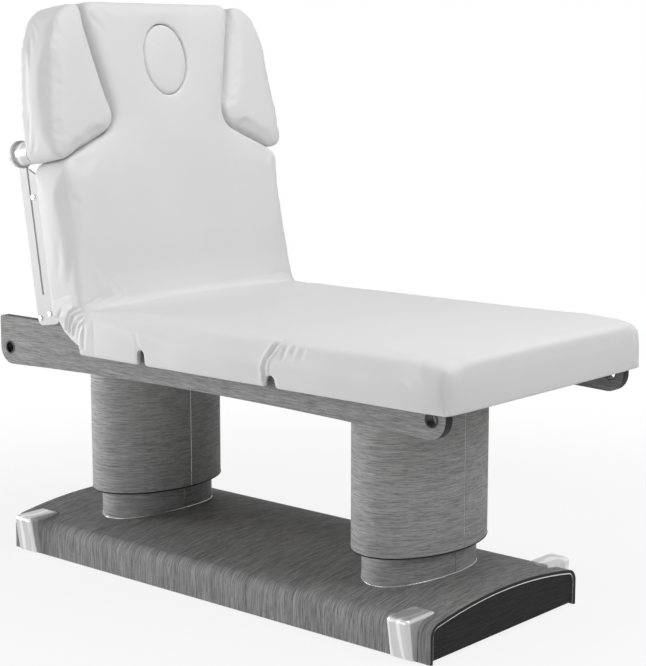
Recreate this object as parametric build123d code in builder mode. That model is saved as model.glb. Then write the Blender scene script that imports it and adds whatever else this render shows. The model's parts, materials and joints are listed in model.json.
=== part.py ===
from build123d import *
from math import cos, hypot, radians, sin, sqrt, tan
import os

os.makedirs("parts", exist_ok=True)

# All sizes are in millimetres. +X points to the foot end, -Y to the right side of a person
# who sits against the raised backrest, +Z up. The floor is z = 0.

# Overall places
half_length = 787.0
surface_height = 728.0
table_half_width = 400.0
back_angle = 81.0
overrun = 5.0
skin_gap = 0.3
seam_gap = 0.4
fold_gap = 0.6

# Base with its bent cover
base_foot_setback = 117.0
base_half_width = 296.5
cover_bottom = 4.0
cover_side_height = 92.0
cover_crown_height = 121.6
cover_shoulder_radius = 32.5
cover_wall = 7.5
edge_band_thickness = 1.5
end_panel_recess = 4.0
end_panel_thickness = 16.0
end_panel_lift = 7.0
end_trim_width = 3.0
end_trim_thickness = 2.0
base_plate_thickness = 8.0
feet_height = 20.0
foot_pad_radius = 25.0
foot_pad_height = 8.0
foot_stem_radius = 8.0
foot_inset_x = 90.0
foot_inset_y = 60.0

# Polished corner covers over the base
foot_cover_length = 65.0
foot_cover_setback = 39.0
foot_cover_reach = 39.5
foot_cover_slope = 16.0
foot_cover_bottom = 9.0
foot_cover_top = 110.0
foot_cover_inner = 230.0
foot_cover_radius = 12.0

# Two telescopic lift columns
column_inset = 263.5
column_flange_length = 150.0
column_flange_width = 240.0
column_flange_thickness = 10.0
column_bolt_radius = 5.0
column_bolt_head_radius = 8.5
column_bolt_head_height = 6.0
column_bolt_inset = 15.0
outer_tube_length = 110.0
outer_tube_width = 180.0
outer_tube_wall = 5.0
outer_tube_headroom = 87.2
inner_tube_wall = 4.0
inner_tube_lift = 17.0
tube_corner_radius = 9.0
column_plate_thickness = 8.0
lower_sleeve_half_length = 108.5
lower_sleeve_half_width = 183.0
lower_sleeve_headroom = 117.2
sleeve_wall = 2.5
sleeve_opening_gap = 1.0
upper_sleeve_half_length = 135.5
upper_sleeve_half_width = 210.0
upper_sleeve_lift = 65.6
motor_radius = 36.0
motor_height = 70.0
gearbox_side = 64.0
gearbox_height = 30.0
screw_radius = 9.0
screw_headroom = 123.9
nut_height = 30.0
nut_gap = 0.05

# Electrics in the base
control_box_length = 220.0
control_box_width = 130.0
control_box_height = 52.0
control_box_radius = 4.0
inlet_width = 48.0
inlet_height = 28.0
inlet_depth = 30.0
inlet_flange = 5.0
inlet_flange_thickness = 3.0
inlet_wall = 4.0
inlet_side_share = 0.45

# Lifting frame under the mattress
cross_tube_width = 40.0
cross_tube_height = 25.0
beam_width = 40.0
beam_height = 25.0
beam_offset = 110.0
beam_overhang = 40.0
middle_cross_share = 0.3700906
bearer_width = 30.0
bearer_offset = 300.0
board_thickness = 12.0
board_side_gap = 2.0
foam_height = 41.0
buffer_radius = 14.0
buffer_inset = 42.0

# Side rails
rail_thickness = 25.0
rail_outer_y = 372.0
rail_head_setback = 55.0
rail_foot_setback = 27.0
rail_top_drop = 55.0
rail_end_height = 130.0
rail_arch_rise = 17.0
rail_lower_radius = 45.0
rail_upper_radius = 6.0
rail_hole_radius = 16.0
rail_hole_inset = 38.0
rail_hole_rise = 46.5
grommet_wall = 2.0
grommet_flange = 2.0
grommet_flange_thickness = 1.0

# Mattress in three sections
back_fold_setback = 400.0
leg_length = 512.0
apron_height = 123.0
apron_thickness = 14.0
cushion_crown = 6.0
cushion_edge_radius = 18.0
foot_edge_radius = 15.5
notch_place = 230.5
notch_width = 25.0
notch_height = 39.0
notch_neck = 15.0
fold_notch_half_width = 18.5
fold_notch_height = 30.0
fold_notch_neck_half = 9.0
leg_lift_angle = 25.0

# Hinges of the backrest and the leg rest
pivot_depth = 24.0
ear_thickness = 8.0
ear_radius = 14.0
ear_outer_y = 345.0
ear_foot_length = 60.0
pin_radius = 6.0
pin_overhang = 2.0
pin_gap = 0.05
pocket_gap = 2.0
hinge_beam_width = 50.0
hinge_beam_height = 24.5
spine_width = 60.0
back_spine_end_gap = 15.0
leg_spine_end_gap = 46.0

# Backrest outline, seen from the front
back_length = 803.0
shoulder_width = 400.0
shoulder_corner_height = 388.6
neck_corner_width = 191.9
neck_corner_height = 478.4
crown_half_width = 274.4
shoulder_radius = 30.0
neck_radius = 55.0
head_corner_radius = 26.0
face_hole_half_width = 77.5
face_hole_half_height = 95.0
face_hole_drop = 153.0
plug_gap = 1.0
plug_board_inset = 12.0
plug_edge_radius = 12.0

# White side plates of the backrest
side_plate_thickness = 7.0
side_plate_outer = 383.0
side_plate_depth = 200.0
side_plate_heel = 14.0
side_plate_toe = 24.0
side_plate_drop = 24.6
side_plate_heel_gap = 2.0
side_plate_radius = 16.0
side_plate_slot_from = 64.0
side_plate_slot_end_gap = 9.3
side_plate_slot_depth = 168.0
side_plate_slot_width = 7.0
clamp_screw_height = 319.0
clamp_screw_depth = 158.0
lower_screw_height = 6.0
lower_screw_depth = 190.0
upper_screw_height = 15.0
upper_screw_depth = 151.0
screw_head_radius = 7.0
screw_head_height = 2.5

# Side pads of the backrest and their swivels
pad_gap = 4.0
pad_outer = 424.0
pad_thickness = 118.0
pad_corner_radius = 32.0
pad_side_height = 505.0
pad_waist_width = 399.0
pad_waist_drop = 113.0
pad_head_width = 362.0
pad_head_drop = 34.0
pad_top_drop = 6.0
pad_top_radius = 20.0
pad_waist_radius = 150.0
pad_head_radius = 55.0
pad_board_inset = 10.0
pad_board_thickness = 12.0
pad_edge_radius = 18.0
swivel_plate_thickness = 6.0
swivel_plate_depth = 170.0
swivel_radius = 30.0
swivel_eye_radius = 36.0
swivel_pin_radius = 8.0
swivel_cap_radius = 20.0
swivel_cap_height = 24.0

# Linear actuators under the seat
actuator_offset = 42.0
actuator_tube_radius = 17.0
actuator_rod_radius = 8.0
actuator_bore_gap = 0.3
actuator_motor_radius = 22.0
gear_housing_length = 30.0
gear_housing_height = 40.0
back_actuator_reach = 30.0
back_clevis_drop = 21.2
back_rod_shown_share = 0.3051514
back_rod_setback_share = 0.5249983
back_motor_length = 100.0
leg_actuator_reach = 12.0
leg_clevis_drop = 13.2
leg_rod_shown_share = 0.2582813
leg_rod_setback_share = 0.4832045
leg_motor_length = 70.0
back_lever_reach = 46.0
back_lever_drop = 52.8
leg_lever_reach = 12.0
leg_lever_drop = 66.0
lever_thickness = 6.0
lever_half_gap = 9.0
gear_gap = 2.0
eye_wall = 3.0
eye_half_width = 7.0
back_open_pivot_gap = 12.0
leg_open_pivot_gap = 1.5
clevis_pin_radius = 5.0
clevis_radius = 12.0
clevis_half_gap = 8.0
clevis_thickness = 5.0


# Places worked out from the sizes
base_head_x = -half_length
base_foot_x = half_length - base_foot_setback
base_middle_x = (base_head_x + base_foot_x) / 2
column_places = {"head": base_head_x + column_inset, "foot": base_foot_x - column_inset}
sides = {"right": -1, "left": 1}
leg_pivot_x = half_length - leg_length
back_pivot_x = back_fold_setback - half_length
seat_length = leg_pivot_x - back_pivot_x
pivot_z = surface_height - pivot_depth
apron_z = surface_height - apron_height
board_top = surface_height - foam_height
board_bottom = board_top - board_thickness
beam_top = board_bottom - hinge_beam_height - skin_gap
beam_bottom = beam_top - beam_height
cross_bottom = beam_bottom - cross_tube_height
column_plate_bottom = cross_bottom - column_plate_thickness
base_plate_top = feet_height + base_plate_thickness
flange_top = base_plate_top + column_flange_thickness
outer_tube_top = column_plate_bottom - outer_tube_headroom
gearbox_top = flange_top + motor_height + gearbox_height
inner_tube_bottom = gearbox_top + inner_tube_lift
middle_cross_x = leg_pivot_x - seat_length * middle_cross_share
rail_head_x = rail_head_setback - half_length
rail_foot_x = half_length - rail_foot_setback
rail_top_z = surface_height - rail_top_drop
rail_inner_y = rail_outer_y - rail_thickness
apron_inner_y = table_half_width - apron_thickness


def block(low, high, plane=Plane.XY, mode=Mode.ADD):
    """A rectangular block between two corners given in the plane's own axes."""
    middle = [(a + b) / 2 for a, b in zip(low, high)]
    size = [b - a for a, b in zip(low, high)]
    with Locations(plane.location * Location(tuple(middle))):
        Box(*size, mode=mode)


def rod(start, end, radius, mode=Mode.ADD):
    """A round bar from one point to another."""
    run = Vector(*end) - Vector(*start)
    with Locations(Plane(origin=start, z_dir=run).location):
        Cylinder(radius, run.length, align=(Align.CENTER, Align.CENTER, Align.MIN), mode=mode)


def save(piece, name):
    piece.part.label = name
    export_step(piece.part, f"parts/{name}.step")


def crossing(first, second):
    """The point where two lines meet, each given by two points."""
    (x1, y1), (x2, y2) = first
    (x3, y3), (x4, y4) = second
    bottom = (x1 - x2) * (y3 - y4) - (y1 - y2) * (x3 - x4)
    p = x1 * y2 - y1 * x2
    q = x3 * y4 - y3 * x4
    return ((p * (x3 - x4) - (x1 - x2) * q) / bottom, (p * (y3 - y4) - (y1 - y2) * q) / bottom)


def moved(line, amount):
    """The line moved to its right by an amount."""
    (x1, y1), (x2, y2) = line
    run = hypot(x2 - x1, y2 - y1)
    shift = ((y2 - y1) / run * amount, -(x2 - x1) / run * amount)
    return tuple((x + shift[0], y + shift[1]) for x, y in line)


# The bent cover of the base: straight sides, round shoulders and a shallow vault
vault_rise = cover_crown_height - cover_side_height
vault_radius = (base_half_width**2 + vault_rise**2) / 2 / vault_rise
vault_centre = cover_crown_height - vault_radius


def cover_section(inset, bottom, plane):
    """The cover's cross-section, made smaller all round by an inset."""
    half = base_half_width - inset
    radius = vault_radius - inset
    shoulder = vault_centre + sqrt(radius**2 - half**2)
    with BuildSketch(plane) as section:
        with BuildLine():
            Polyline((-half, shoulder), (-half, bottom), (half, bottom), (half, shoulder))
            ThreePointArc((half, shoulder), (0, vault_centre + radius), (-half, shoulder))
        make_face()
        fillet(section.vertices().group_by(Axis.Y)[-1], cover_shoulder_radius - inset)
    return section.sketch


cover_head_x = base_head_x + edge_band_thickness
cover_foot_x = base_foot_x - edge_band_thickness
cover_length = cover_foot_x - cover_head_x

with BuildPart() as base_cover:
    extrude(cover_section(0, cover_bottom, Plane.YZ.offset(cover_head_x)), amount=cover_length)
    inside_start = Plane.YZ.offset(cover_head_x - overrun)
    inside = cover_section(cover_wall, cover_bottom - overrun, inside_start)
    extrude(inside, amount=cover_length + 2 * overrun, mode=Mode.SUBTRACT)
    with BuildSketch():
        with Locations(*[(x, 0) for x in column_places.values()]):
            Ellipse(
                lower_sleeve_half_length + sleeve_opening_gap,
                lower_sleeve_half_width + sleeve_opening_gap,
            )
    extrude(amount=cover_crown_height + overrun, mode=Mode.SUBTRACT)
save(base_cover, "base_cover")

with BuildPart() as cover_edge_bands:
    for start in (base_head_x, cover_foot_x):
        extrude(cover_section(0, cover_bottom, Plane.YZ.offset(start)), amount=edge_band_thickness)
    inside_start = Plane.YZ.offset(base_head_x - overrun)
    inside = cover_section(cover_wall, cover_bottom - overrun, inside_start)
    extrude(inside, amount=base_foot_x - base_head_x + 2 * overrun, mode=Mode.SUBTRACT)
save(cover_edge_bands, "cover_edge_bands")

# End panels, set back from the cover's ends, with a light trim strip around them
panel_bottom = cover_bottom + end_panel_lift
panel_faces = {"head": base_head_x + end_panel_recess, "foot": base_foot_x - end_panel_recess}
inlet_y = base_half_width * inlet_side_share
inlet_z = (panel_bottom + cover_side_height) / 2
inlet_low_y = inlet_y - inlet_width / 2
inlet_high_y = inlet_y + inlet_width / 2
inlet_low_z = inlet_z - inlet_height / 2
inlet_high_z = inlet_z + inlet_height / 2
for end, face in panel_faces.items():
    inward = 1 if end == "head" else -1
    with BuildPart() as end_panel:
        start = min(face, face + inward * end_panel_thickness)
        extrude(
            cover_section(cover_wall, panel_bottom, Plane.YZ.offset(start)),
            amount=end_panel_thickness,
        )
        if end == "head":
            block(
                (face - overrun, inlet_low_y, inlet_low_z),
                (face + end_panel_thickness + overrun, inlet_high_y, inlet_high_z),
                mode=Mode.SUBTRACT,
            )
    save(end_panel, f"end_panel_{end}")

with BuildPart() as end_trims:
    for end, face in panel_faces.items():
        start = face - end_trim_thickness if end == "head" else face
        extrude(
            cover_section(cover_wall, panel_bottom, Plane.YZ.offset(start)),
            amount=end_trim_thickness,
        )
        trim_inset = cover_wall + end_trim_width
        extrude(
            cover_section(trim_inset, panel_bottom - overrun, Plane.YZ.offset(start - overrun)),
            amount=end_trim_thickness + 2 * overrun,
            mode=Mode.SUBTRACT,
        )
save(end_trims, "end_trims")

# The mains inlet in the head panel
inlet_face = panel_faces["head"]
inlet_mouth = inlet_face - inlet_flange_thickness
with BuildPart() as power_inlet:
    block(
        (inlet_face, inlet_low_y, inlet_low_z),
        (inlet_face + inlet_depth, inlet_high_y, inlet_high_z),
    )
    block(
        (inlet_mouth, inlet_low_y - inlet_flange, inlet_low_z - inlet_flange),
        (inlet_face, inlet_high_y + inlet_flange, inlet_high_z + inlet_flange),
    )
    block(
        (inlet_mouth - overrun, inlet_low_y + inlet_wall, inlet_low_z + inlet_wall),
        (inlet_face + inlet_depth - inlet_wall, inlet_high_y - inlet_wall, inlet_high_z - inlet_wall),
        mode=Mode.SUBTRACT,
    )
save(power_inlet, "power_inlet")

# Floor plate and its levelling feet
plate_half_width = base_half_width - cover_wall - skin_gap
plate_head_x = panel_faces["head"] + end_panel_thickness + skin_gap
plate_foot_x = panel_faces["foot"] - end_panel_thickness - skin_gap
with BuildPart() as base_plate:
    block(
        (plate_head_x, -plate_half_width, feet_height),
        (plate_foot_x, plate_half_width, base_plate_top),
    )
save(base_plate, "base_plate")

with BuildPart() as levelling_feet:
    for x in (plate_head_x + foot_inset_x, plate_foot_x - foot_inset_x):
        for side in sides.values():
            y = side * (plate_half_width - foot_inset_y)
            rod((x, y, 0), (x, y, foot_pad_height), foot_pad_radius)
            rod((x, y, foot_pad_height), (x, y, feet_height), foot_stem_radius)
save(levelling_feet, "levelling_feet")

# Polished covers that wrap the shoulder of the base near each corner
foot_cover_outer_y = base_half_width + foot_cover_reach
foot_cover_places = {
    "head": base_head_x + foot_cover_setback,
    "foot": base_foot_x - foot_cover_setback - foot_cover_length,
}
for end, start in foot_cover_places.items():
    for side_name, side in sides.items():
        with BuildPart() as foot_cover:
            with BuildSketch(Plane.YZ.offset(start)):
                with BuildLine():
                    Polyline(
                        (side * foot_cover_inner, foot_cover_bottom),
                        (side * (foot_cover_outer_y - foot_cover_slope), foot_cover_bottom),
                        (side * foot_cover_outer_y, foot_cover_top),
                        (side * foot_cover_inner, foot_cover_top),
                        close=True,
                    )
                make_face()
            extrude(amount=foot_cover_length)
            outer_face = foot_cover.faces().sort_by(Axis.Y)[0 if side < 0 else -1]
            top_face = foot_cover.faces().sort_by(Axis.Z)[-1]
            fillet(ShapeList(set(outer_face.edges()) | set(top_face.edges())), foot_cover_radius)
            solid_cover = cover_section(0, cover_bottom, Plane.YZ.offset(start - overrun))
            extrude(solid_cover, amount=foot_cover_length + 2 * overrun, mode=Mode.SUBTRACT)
        save(foot_cover, f"foot_cover_{end}_{side_name}")


# Lift columns
def sleeve_half(centre_x, half_length_x, half_width_y, bottom, height, side):
    """One half of an oval sleeve, parted along the middle plane."""
    with BuildPart() as piece:
        with BuildSketch(Plane.XY.offset(bottom)):
            with Locations((centre_x, 0)):
                Ellipse(half_length_x, half_width_y)
                Ellipse(half_length_x - sleeve_wall, half_width_y - sleeve_wall, mode=Mode.SUBTRACT)
        extrude(amount=height)
        cut_from = min(side * seam_gap / 2, -side * (half_width_y + overrun))
        cut_to = max(side * seam_gap / 2, -side * (half_width_y + overrun))
        block(
            (centre_x - half_length_x - overrun, cut_from, bottom - overrun),
            (centre_x + half_length_x + overrun, cut_to, bottom + height + overrun),
            mode=Mode.SUBTRACT,
        )
    return piece


inner_tube_length = outer_tube_length - 2 * outer_tube_wall - 2 * skin_gap
inner_tube_width = outer_tube_width - 2 * outer_tube_wall - 2 * skin_gap
upper_sleeve_bottom = cover_crown_height + upper_sleeve_lift
lower_sleeve_top = column_plate_bottom - lower_sleeve_headroom
screw_bottom = gearbox_top + skin_gap
screw_top = column_plate_bottom - screw_headroom
bolt_reach_x = column_flange_length / 2 - column_bolt_inset
bolt_reach_y = column_flange_width / 2 - column_bolt_inset
bolt_places = [(sx * bolt_reach_x, sy * bolt_reach_y) for sx in (-1, 1) for sy in (-1, 1)]
with BuildPart() as column_outer_tubes:
    for column_x in column_places.values():
        block(
            (column_x - column_flange_length / 2, -column_flange_width / 2, base_plate_top),
            (column_x + column_flange_length / 2, column_flange_width / 2, flange_top),
        )
        with BuildSketch(Plane.XY.offset(flange_top)):
            with Locations((column_x, 0)):
                RectangleRounded(outer_tube_length, outer_tube_width, tube_corner_radius)
                Rectangle(
                    outer_tube_length - 2 * outer_tube_wall,
                    outer_tube_width - 2 * outer_tube_wall,
                    mode=Mode.SUBTRACT,
                )
        extrude(amount=outer_tube_top - flange_top)
        for x, y in bolt_places:
            rod(
                (column_x + x, y, base_plate_top - overrun),
                (column_x + x, y, flange_top + overrun),
                column_bolt_radius,
                mode=Mode.SUBTRACT,
            )
save(column_outer_tubes, "column_outer_tubes")

with BuildPart() as column_motors:
    for column_x in column_places.values():
        rod((column_x, 0, flange_top), (column_x, 0, flange_top + motor_height), motor_radius)
        block(
            (column_x - gearbox_side / 2, -gearbox_side / 2, flange_top + motor_height),
            (column_x + gearbox_side / 2, gearbox_side / 2, gearbox_top),
        )
save(column_motors, "column_motors")

for end, column_x in column_places.items():
    with BuildPart() as column_inner_tube:
        with BuildSketch(Plane.XY.offset(inner_tube_bottom)):
            with Locations((column_x, 0)):
                Rectangle(inner_tube_length, inner_tube_width)
                Rectangle(
                    inner_tube_length - 2 * inner_tube_wall,
                    inner_tube_width - 2 * inner_tube_wall,
                    mode=Mode.SUBTRACT,
                )
        extrude(amount=column_plate_bottom - inner_tube_bottom)
        with BuildSketch(Plane.XY.offset(column_plate_bottom)):
            with Locations((column_x, 0)):
                Ellipse(upper_sleeve_half_length, upper_sleeve_half_width)
        extrude(amount=column_plate_thickness)
        block(
            (column_x - inner_tube_length / 2, -inner_tube_width / 2, inner_tube_bottom),
            (column_x + inner_tube_length / 2, inner_tube_width / 2, inner_tube_bottom + nut_height),
        )
        rod(
            (column_x, 0, inner_tube_bottom - overrun),
            (column_x, 0, inner_tube_bottom + nut_height + overrun),
            screw_radius + nut_gap,
            mode=Mode.SUBTRACT,
        )
    save(column_inner_tube, f"column_inner_tube_{end}")

    with BuildPart() as lift_screw:
        rod((column_x, 0, screw_bottom), (column_x, 0, screw_top), screw_radius)
    save(lift_screw, f"lift_screw_{end}")

    for side_name, side in sides.items():
        lower_half = sleeve_half(
            column_x,
            lower_sleeve_half_length,
            lower_sleeve_half_width,
            base_plate_top,
            lower_sleeve_top - base_plate_top,
            side,
        )
        save(lower_half, f"lower_sleeve_{end}_{side_name}")
        upper_half = sleeve_half(
            column_x,
            upper_sleeve_half_length,
            upper_sleeve_half_width,
            upper_sleeve_bottom,
            column_plate_bottom - upper_sleeve_bottom,
            side,
        )
        save(upper_half, f"upper_sleeve_{end}_{side_name}")

with BuildPart() as column_bolts:
    for column_x in column_places.values():
        for x, y in bolt_places:
            rod((column_x + x, y, base_plate_top), (column_x + x, y, flange_top), column_bolt_radius)
            rod(
                (column_x + x, y, flange_top),
                (column_x + x, y, flange_top + column_bolt_head_height),
                column_bolt_head_radius,
            )
save(column_bolts, "column_bolts")

control_box_top = base_plate_top + control_box_height
with BuildPart() as control_box:
    block(
        (base_middle_x - control_box_length / 2, -control_box_width / 2, base_plate_top),
        (base_middle_x + control_box_length / 2, control_box_width / 2, control_box_top),
    )
    fillet(control_box.edges().group_by(Axis.Z)[-1], control_box_radius)
save(control_box, "control_box")

# Lifting frame: cross tubes on the columns, two long beams on them, bearers under the seat board
cross_places = [
    rail_head_x + beam_overhang,
    column_places["head"],
    middle_cross_x,
    column_places["foot"],
    rail_foot_x - beam_overhang,
]
beam_inner_y = beam_offset - beam_width / 2
with BuildPart() as frame_cross_tubes:
    for x in cross_places:
        block(
            (x - cross_tube_width / 2, -rail_inner_y, cross_bottom),
            (x + cross_tube_width / 2, rail_inner_y, beam_bottom),
        )
    # Short cross tubes at the two folds leave the middle free for the levers
    for x in (back_pivot_x, leg_pivot_x):
        for side in sides.values():
            low_y = min(side * beam_inner_y, side * rail_inner_y)
            high_y = max(side * beam_inner_y, side * rail_inner_y)
            block(
                (x - cross_tube_width / 2, low_y, cross_bottom),
                (x + cross_tube_width / 2, high_y, beam_bottom),
            )
save(frame_cross_tubes, "frame_cross_tubes")

beam_head_x = cross_places[0] - cross_tube_width / 2
beam_foot_x = cross_places[-1] + cross_tube_width / 2
with BuildPart() as frame_beams:
    for side in sides.values():
        block(
            (beam_head_x, side * beam_offset - beam_width / 2, beam_bottom),
            (beam_foot_x, side * beam_offset + beam_width / 2, beam_top),
        )
save(frame_beams, "frame_beams")

seat_head_x = back_pivot_x + fold_gap
seat_foot_x = leg_pivot_x - fold_gap
leg_head_x = leg_pivot_x + fold_gap
bearer_head_x = seat_head_x + ear_radius + pocket_gap
bearer_foot_x = seat_foot_x - ear_radius - pocket_gap
with BuildPart() as seat_bearers:
    for side in sides.values():
        block(
            (bearer_head_x, side * bearer_offset - bearer_width / 2, beam_bottom),
            (bearer_foot_x, side * bearer_offset + bearer_width / 2, board_bottom),
        )
save(seat_bearers, "seat_bearers")

with BuildPart() as rest_buffers:
    for x in (beam_head_x + buffer_inset, beam_foot_x - buffer_inset):
        for side in sides.values():
            y = side * beam_offset
            rod((x, y, beam_top), (x, y, board_bottom - skin_gap), buffer_radius)
save(rest_buffers, "rest_buffers")

# Side rails, arched along the lower edge
rail_end_z = rail_top_z - rail_end_height
rail_middle_x = (rail_head_x + rail_foot_x) / 2
hole_z = rail_end_z + rail_hole_rise
hole_places = [rail_head_x + rail_hole_inset, rail_foot_x - rail_hole_inset]
for side_name, side in sides.items():
    rail_start = -rail_inner_y if side < 0 else rail_outer_y
    with BuildPart() as rail:
        with BuildSketch(Plane.XZ.offset(-rail_start)) as rail_outline:
            with BuildLine():
                Polyline(
                    (rail_foot_x, rail_end_z),
                    (rail_foot_x, rail_top_z),
                    (rail_head_x, rail_top_z),
                    (rail_head_x, rail_end_z),
                )
                ThreePointArc(
                    (rail_head_x, rail_end_z),
                    (rail_middle_x, rail_end_z + rail_arch_rise),
                    (rail_foot_x, rail_end_z),
                )
            make_face()
            fillet(rail_outline.vertices().group_by(Axis.Y)[0], rail_lower_radius)
            fillet(rail_outline.vertices().group_by(Axis.Y)[-1], rail_upper_radius)
            with Locations(*[(x, hole_z) for x in hole_places]):
                Circle(rail_hole_radius, mode=Mode.SUBTRACT)
        extrude(amount=rail_thickness)
    save(rail, f"rail_{side_name}")

with BuildPart() as rail_grommets:
    bore_radius = rail_hole_radius - grommet_wall
    for side in sides.values():
        for x in hole_places:
            inner = (x, side * rail_inner_y, hole_z)
            outer = (x, side * rail_outer_y, hole_z)
            rim = (x, side * (rail_outer_y + grommet_flange_thickness), hole_z)
            rod(inner, outer, rail_hole_radius)
            rod(outer, rim, rail_hole_radius + grommet_flange)
            past_inner = (x, side * (rail_inner_y - overrun), hole_z)
            past_rim = (x, side * (rail_outer_y + grommet_flange_thickness + overrun), hole_z)
            rod(past_inner, past_rim, bore_radius, mode=Mode.SUBTRACT)
save(rail_grommets, "rail_grommets")

# Hinge ears on the frame, at both folds, and the pins through them
ear_inner_y = ear_outer_y - ear_thickness
moving_ear_outer_y = ear_inner_y - skin_gap
moving_ear_inner_y = moving_ear_outer_y - ear_thickness
with BuildPart() as hinge_ears:
    for pivot_x in (back_pivot_x, leg_pivot_x):
        for side in sides.values():
            low_y = min(side * ear_inner_y, side * ear_outer_y)
            high_y = max(side * ear_inner_y, side * ear_outer_y)
            block((pivot_x - ear_radius, low_y, beam_bottom), (pivot_x + ear_radius, high_y, pivot_z))
            rod((pivot_x, low_y, pivot_z), (pivot_x, high_y, pivot_z), ear_radius)
            rod(
                (pivot_x, low_y - overrun, pivot_z),
                (pivot_x, high_y + overrun, pivot_z),
                pin_radius,
                mode=Mode.SUBTRACT,
            )
save(hinge_ears, "hinge_ears")

with BuildPart() as hinge_pins:
    for pivot_x in (back_pivot_x, leg_pivot_x):
        for side in sides.values():
            rod(
                (pivot_x, side * (moving_ear_inner_y - pin_overhang), pivot_z),
                (pivot_x, side * (ear_outer_y + pin_overhang), pivot_z),
                pin_radius,
            )
save(hinge_pins, "hinge_pins")


# Boards and cushions of the seat and the leg rest
pocket_inner_y = moving_ear_inner_y - pin_overhang - pocket_gap
pocket_outer_y = ear_outer_y + pin_overhang + pocket_gap
pocket_reach = ear_radius + pocket_gap


def hinge_pockets(pivot_x):
    """Room for the hinge ears beside a fold, cut from the underside of boards and cushions."""
    for side in sides.values():
        low_y = min(side * pocket_inner_y, side * pocket_outer_y)
        high_y = max(side * pocket_inner_y, side * pocket_outer_y)
        block(
            (pivot_x - pocket_reach, low_y, board_bottom - overrun),
            (pivot_x + pocket_reach, high_y, pivot_z + pocket_reach),
            mode=Mode.SUBTRACT,
        )


board_half_width = apron_inner_y - board_side_gap
with BuildPart() as seat_board:
    block(
        (seat_head_x, -board_half_width, board_bottom),
        (seat_foot_x, board_half_width, board_top),
    )
    hinge_pockets(back_pivot_x)
    hinge_pockets(leg_pivot_x)
save(seat_board, "seat_board")

leg_board_foot_x = half_length - apron_thickness - board_side_gap
with BuildPart() as leg_board:
    block(
        (leg_head_x, -board_half_width, board_bottom),
        (leg_board_foot_x, board_half_width, board_top),
    )
    hinge_pockets(leg_pivot_x)
save(leg_board, "leg_board")


def mattress_section(plane):
    """Outer cross-section of the flat sections: upright sides and a slightly crowned top."""
    edge = surface_height - cushion_crown
    with BuildSketch(plane) as section:
        with BuildLine():
            Polyline(
                (-table_half_width, edge),
                (-table_half_width, apron_z),
                (table_half_width, apron_z),
                (table_half_width, edge),
            )
            ThreePointArc((table_half_width, edge), (0, surface_height), (-table_half_width, edge))
        make_face()
        fillet(section.vertices().group_by(Axis.Y)[-1], cushion_edge_radius)
    return section.sketch


back_mitre = tan(radians(back_angle / 2))
leg_mitre = tan(radians(leg_lift_angle / 2))


def mitre_cut(pivot_x, lean, direction):
    """The wedge taken off a cushion above a fold, so that the sections can bend towards each other."""
    top = surface_height + overrun
    with BuildSketch(Plane.XZ) as wedge:
        with BuildLine():
            Polyline(
                (pivot_x, pivot_z),
                (pivot_x, top),
                (pivot_x + direction * (fold_gap + (top - pivot_z) * lean), top),
                (pivot_x + direction * fold_gap, pivot_z),
                close=True,
            )
        make_face()
    extrude(wedge.sketch, amount=table_half_width + overrun, both=True, mode=Mode.SUBTRACT)


with BuildPart() as seat_cushion:
    extrude(mattress_section(Plane.YZ.offset(seat_head_x)), amount=seat_foot_x - seat_head_x)
    block(
        (seat_head_x - overrun, -apron_inner_y, apron_z - overrun),
        (seat_foot_x + overrun, apron_inner_y, board_top),
        mode=Mode.SUBTRACT,
    )
    mitre_cut(back_pivot_x, back_mitre, 1)
    mitre_cut(leg_pivot_x, leg_mitre, -1)
    hinge_pockets(back_pivot_x)
    hinge_pockets(leg_pivot_x)
    notch_x = back_pivot_x + notch_place
    with BuildSketch(Plane.XZ) as notch:
        with BuildLine():
            Polyline(
                (notch_x - notch_width / 2, apron_z - overrun),
                (notch_x - notch_width / 2, apron_z),
                (notch_x - notch_neck / 2, apron_z + notch_height - notch_neck / 2),
            )
            ThreePointArc(
                (notch_x - notch_neck / 2, apron_z + notch_height - notch_neck / 2),
                (notch_x, apron_z + notch_height),
                (notch_x + notch_neck / 2, apron_z + notch_height - notch_neck / 2),
            )
            Polyline(
                (notch_x + notch_neck / 2, apron_z + notch_height - notch_neck / 2),
                (notch_x + notch_width / 2, apron_z),
                (notch_x + notch_width / 2, apron_z - overrun),
                (notch_x - notch_width / 2, apron_z - overrun),
            )
        make_face()
    extrude(notch.sketch, amount=table_half_width + overrun, both=True, mode=Mode.SUBTRACT)
    with BuildSketch(Plane.XZ) as relief:
        with BuildLine():
            Polyline(
                (leg_pivot_x - fold_notch_half_width, apron_z - overrun),
                (leg_pivot_x - fold_notch_neck_half, apron_z + fold_notch_height),
                (leg_pivot_x + fold_notch_neck_half, apron_z + fold_notch_height),
                (leg_pivot_x + fold_notch_half_width, apron_z - overrun),
                close=True,
            )
        make_face()
    extrude(relief.sketch, amount=table_half_width + overrun, both=True, mode=Mode.SUBTRACT)
save(seat_cushion, "seat_cushion")

with BuildPart() as leg_cushion:
    extrude(mattress_section(Plane.YZ.offset(leg_head_x)), amount=half_length - leg_head_x)
    foot_face = leg_cushion.faces().sort_by(Axis.X)[-1]
    foot_edges = foot_face.edges().filter_by(lambda e: abs(e.center().Z - apron_z) > overrun)
    fillet(foot_edges, foot_edge_radius)
    block(
        (leg_head_x - overrun, -apron_inner_y, apron_z - overrun),
        (half_length - apron_thickness, apron_inner_y, board_top),
        mode=Mode.SUBTRACT,
    )
    mitre_cut(leg_pivot_x, leg_mitre, 1)
    hinge_pockets(leg_pivot_x)
    extrude(relief.sketch, amount=table_half_width + overrun, both=True, mode=Mode.SUBTRACT)
save(leg_cushion, "leg_cushion")

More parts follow.
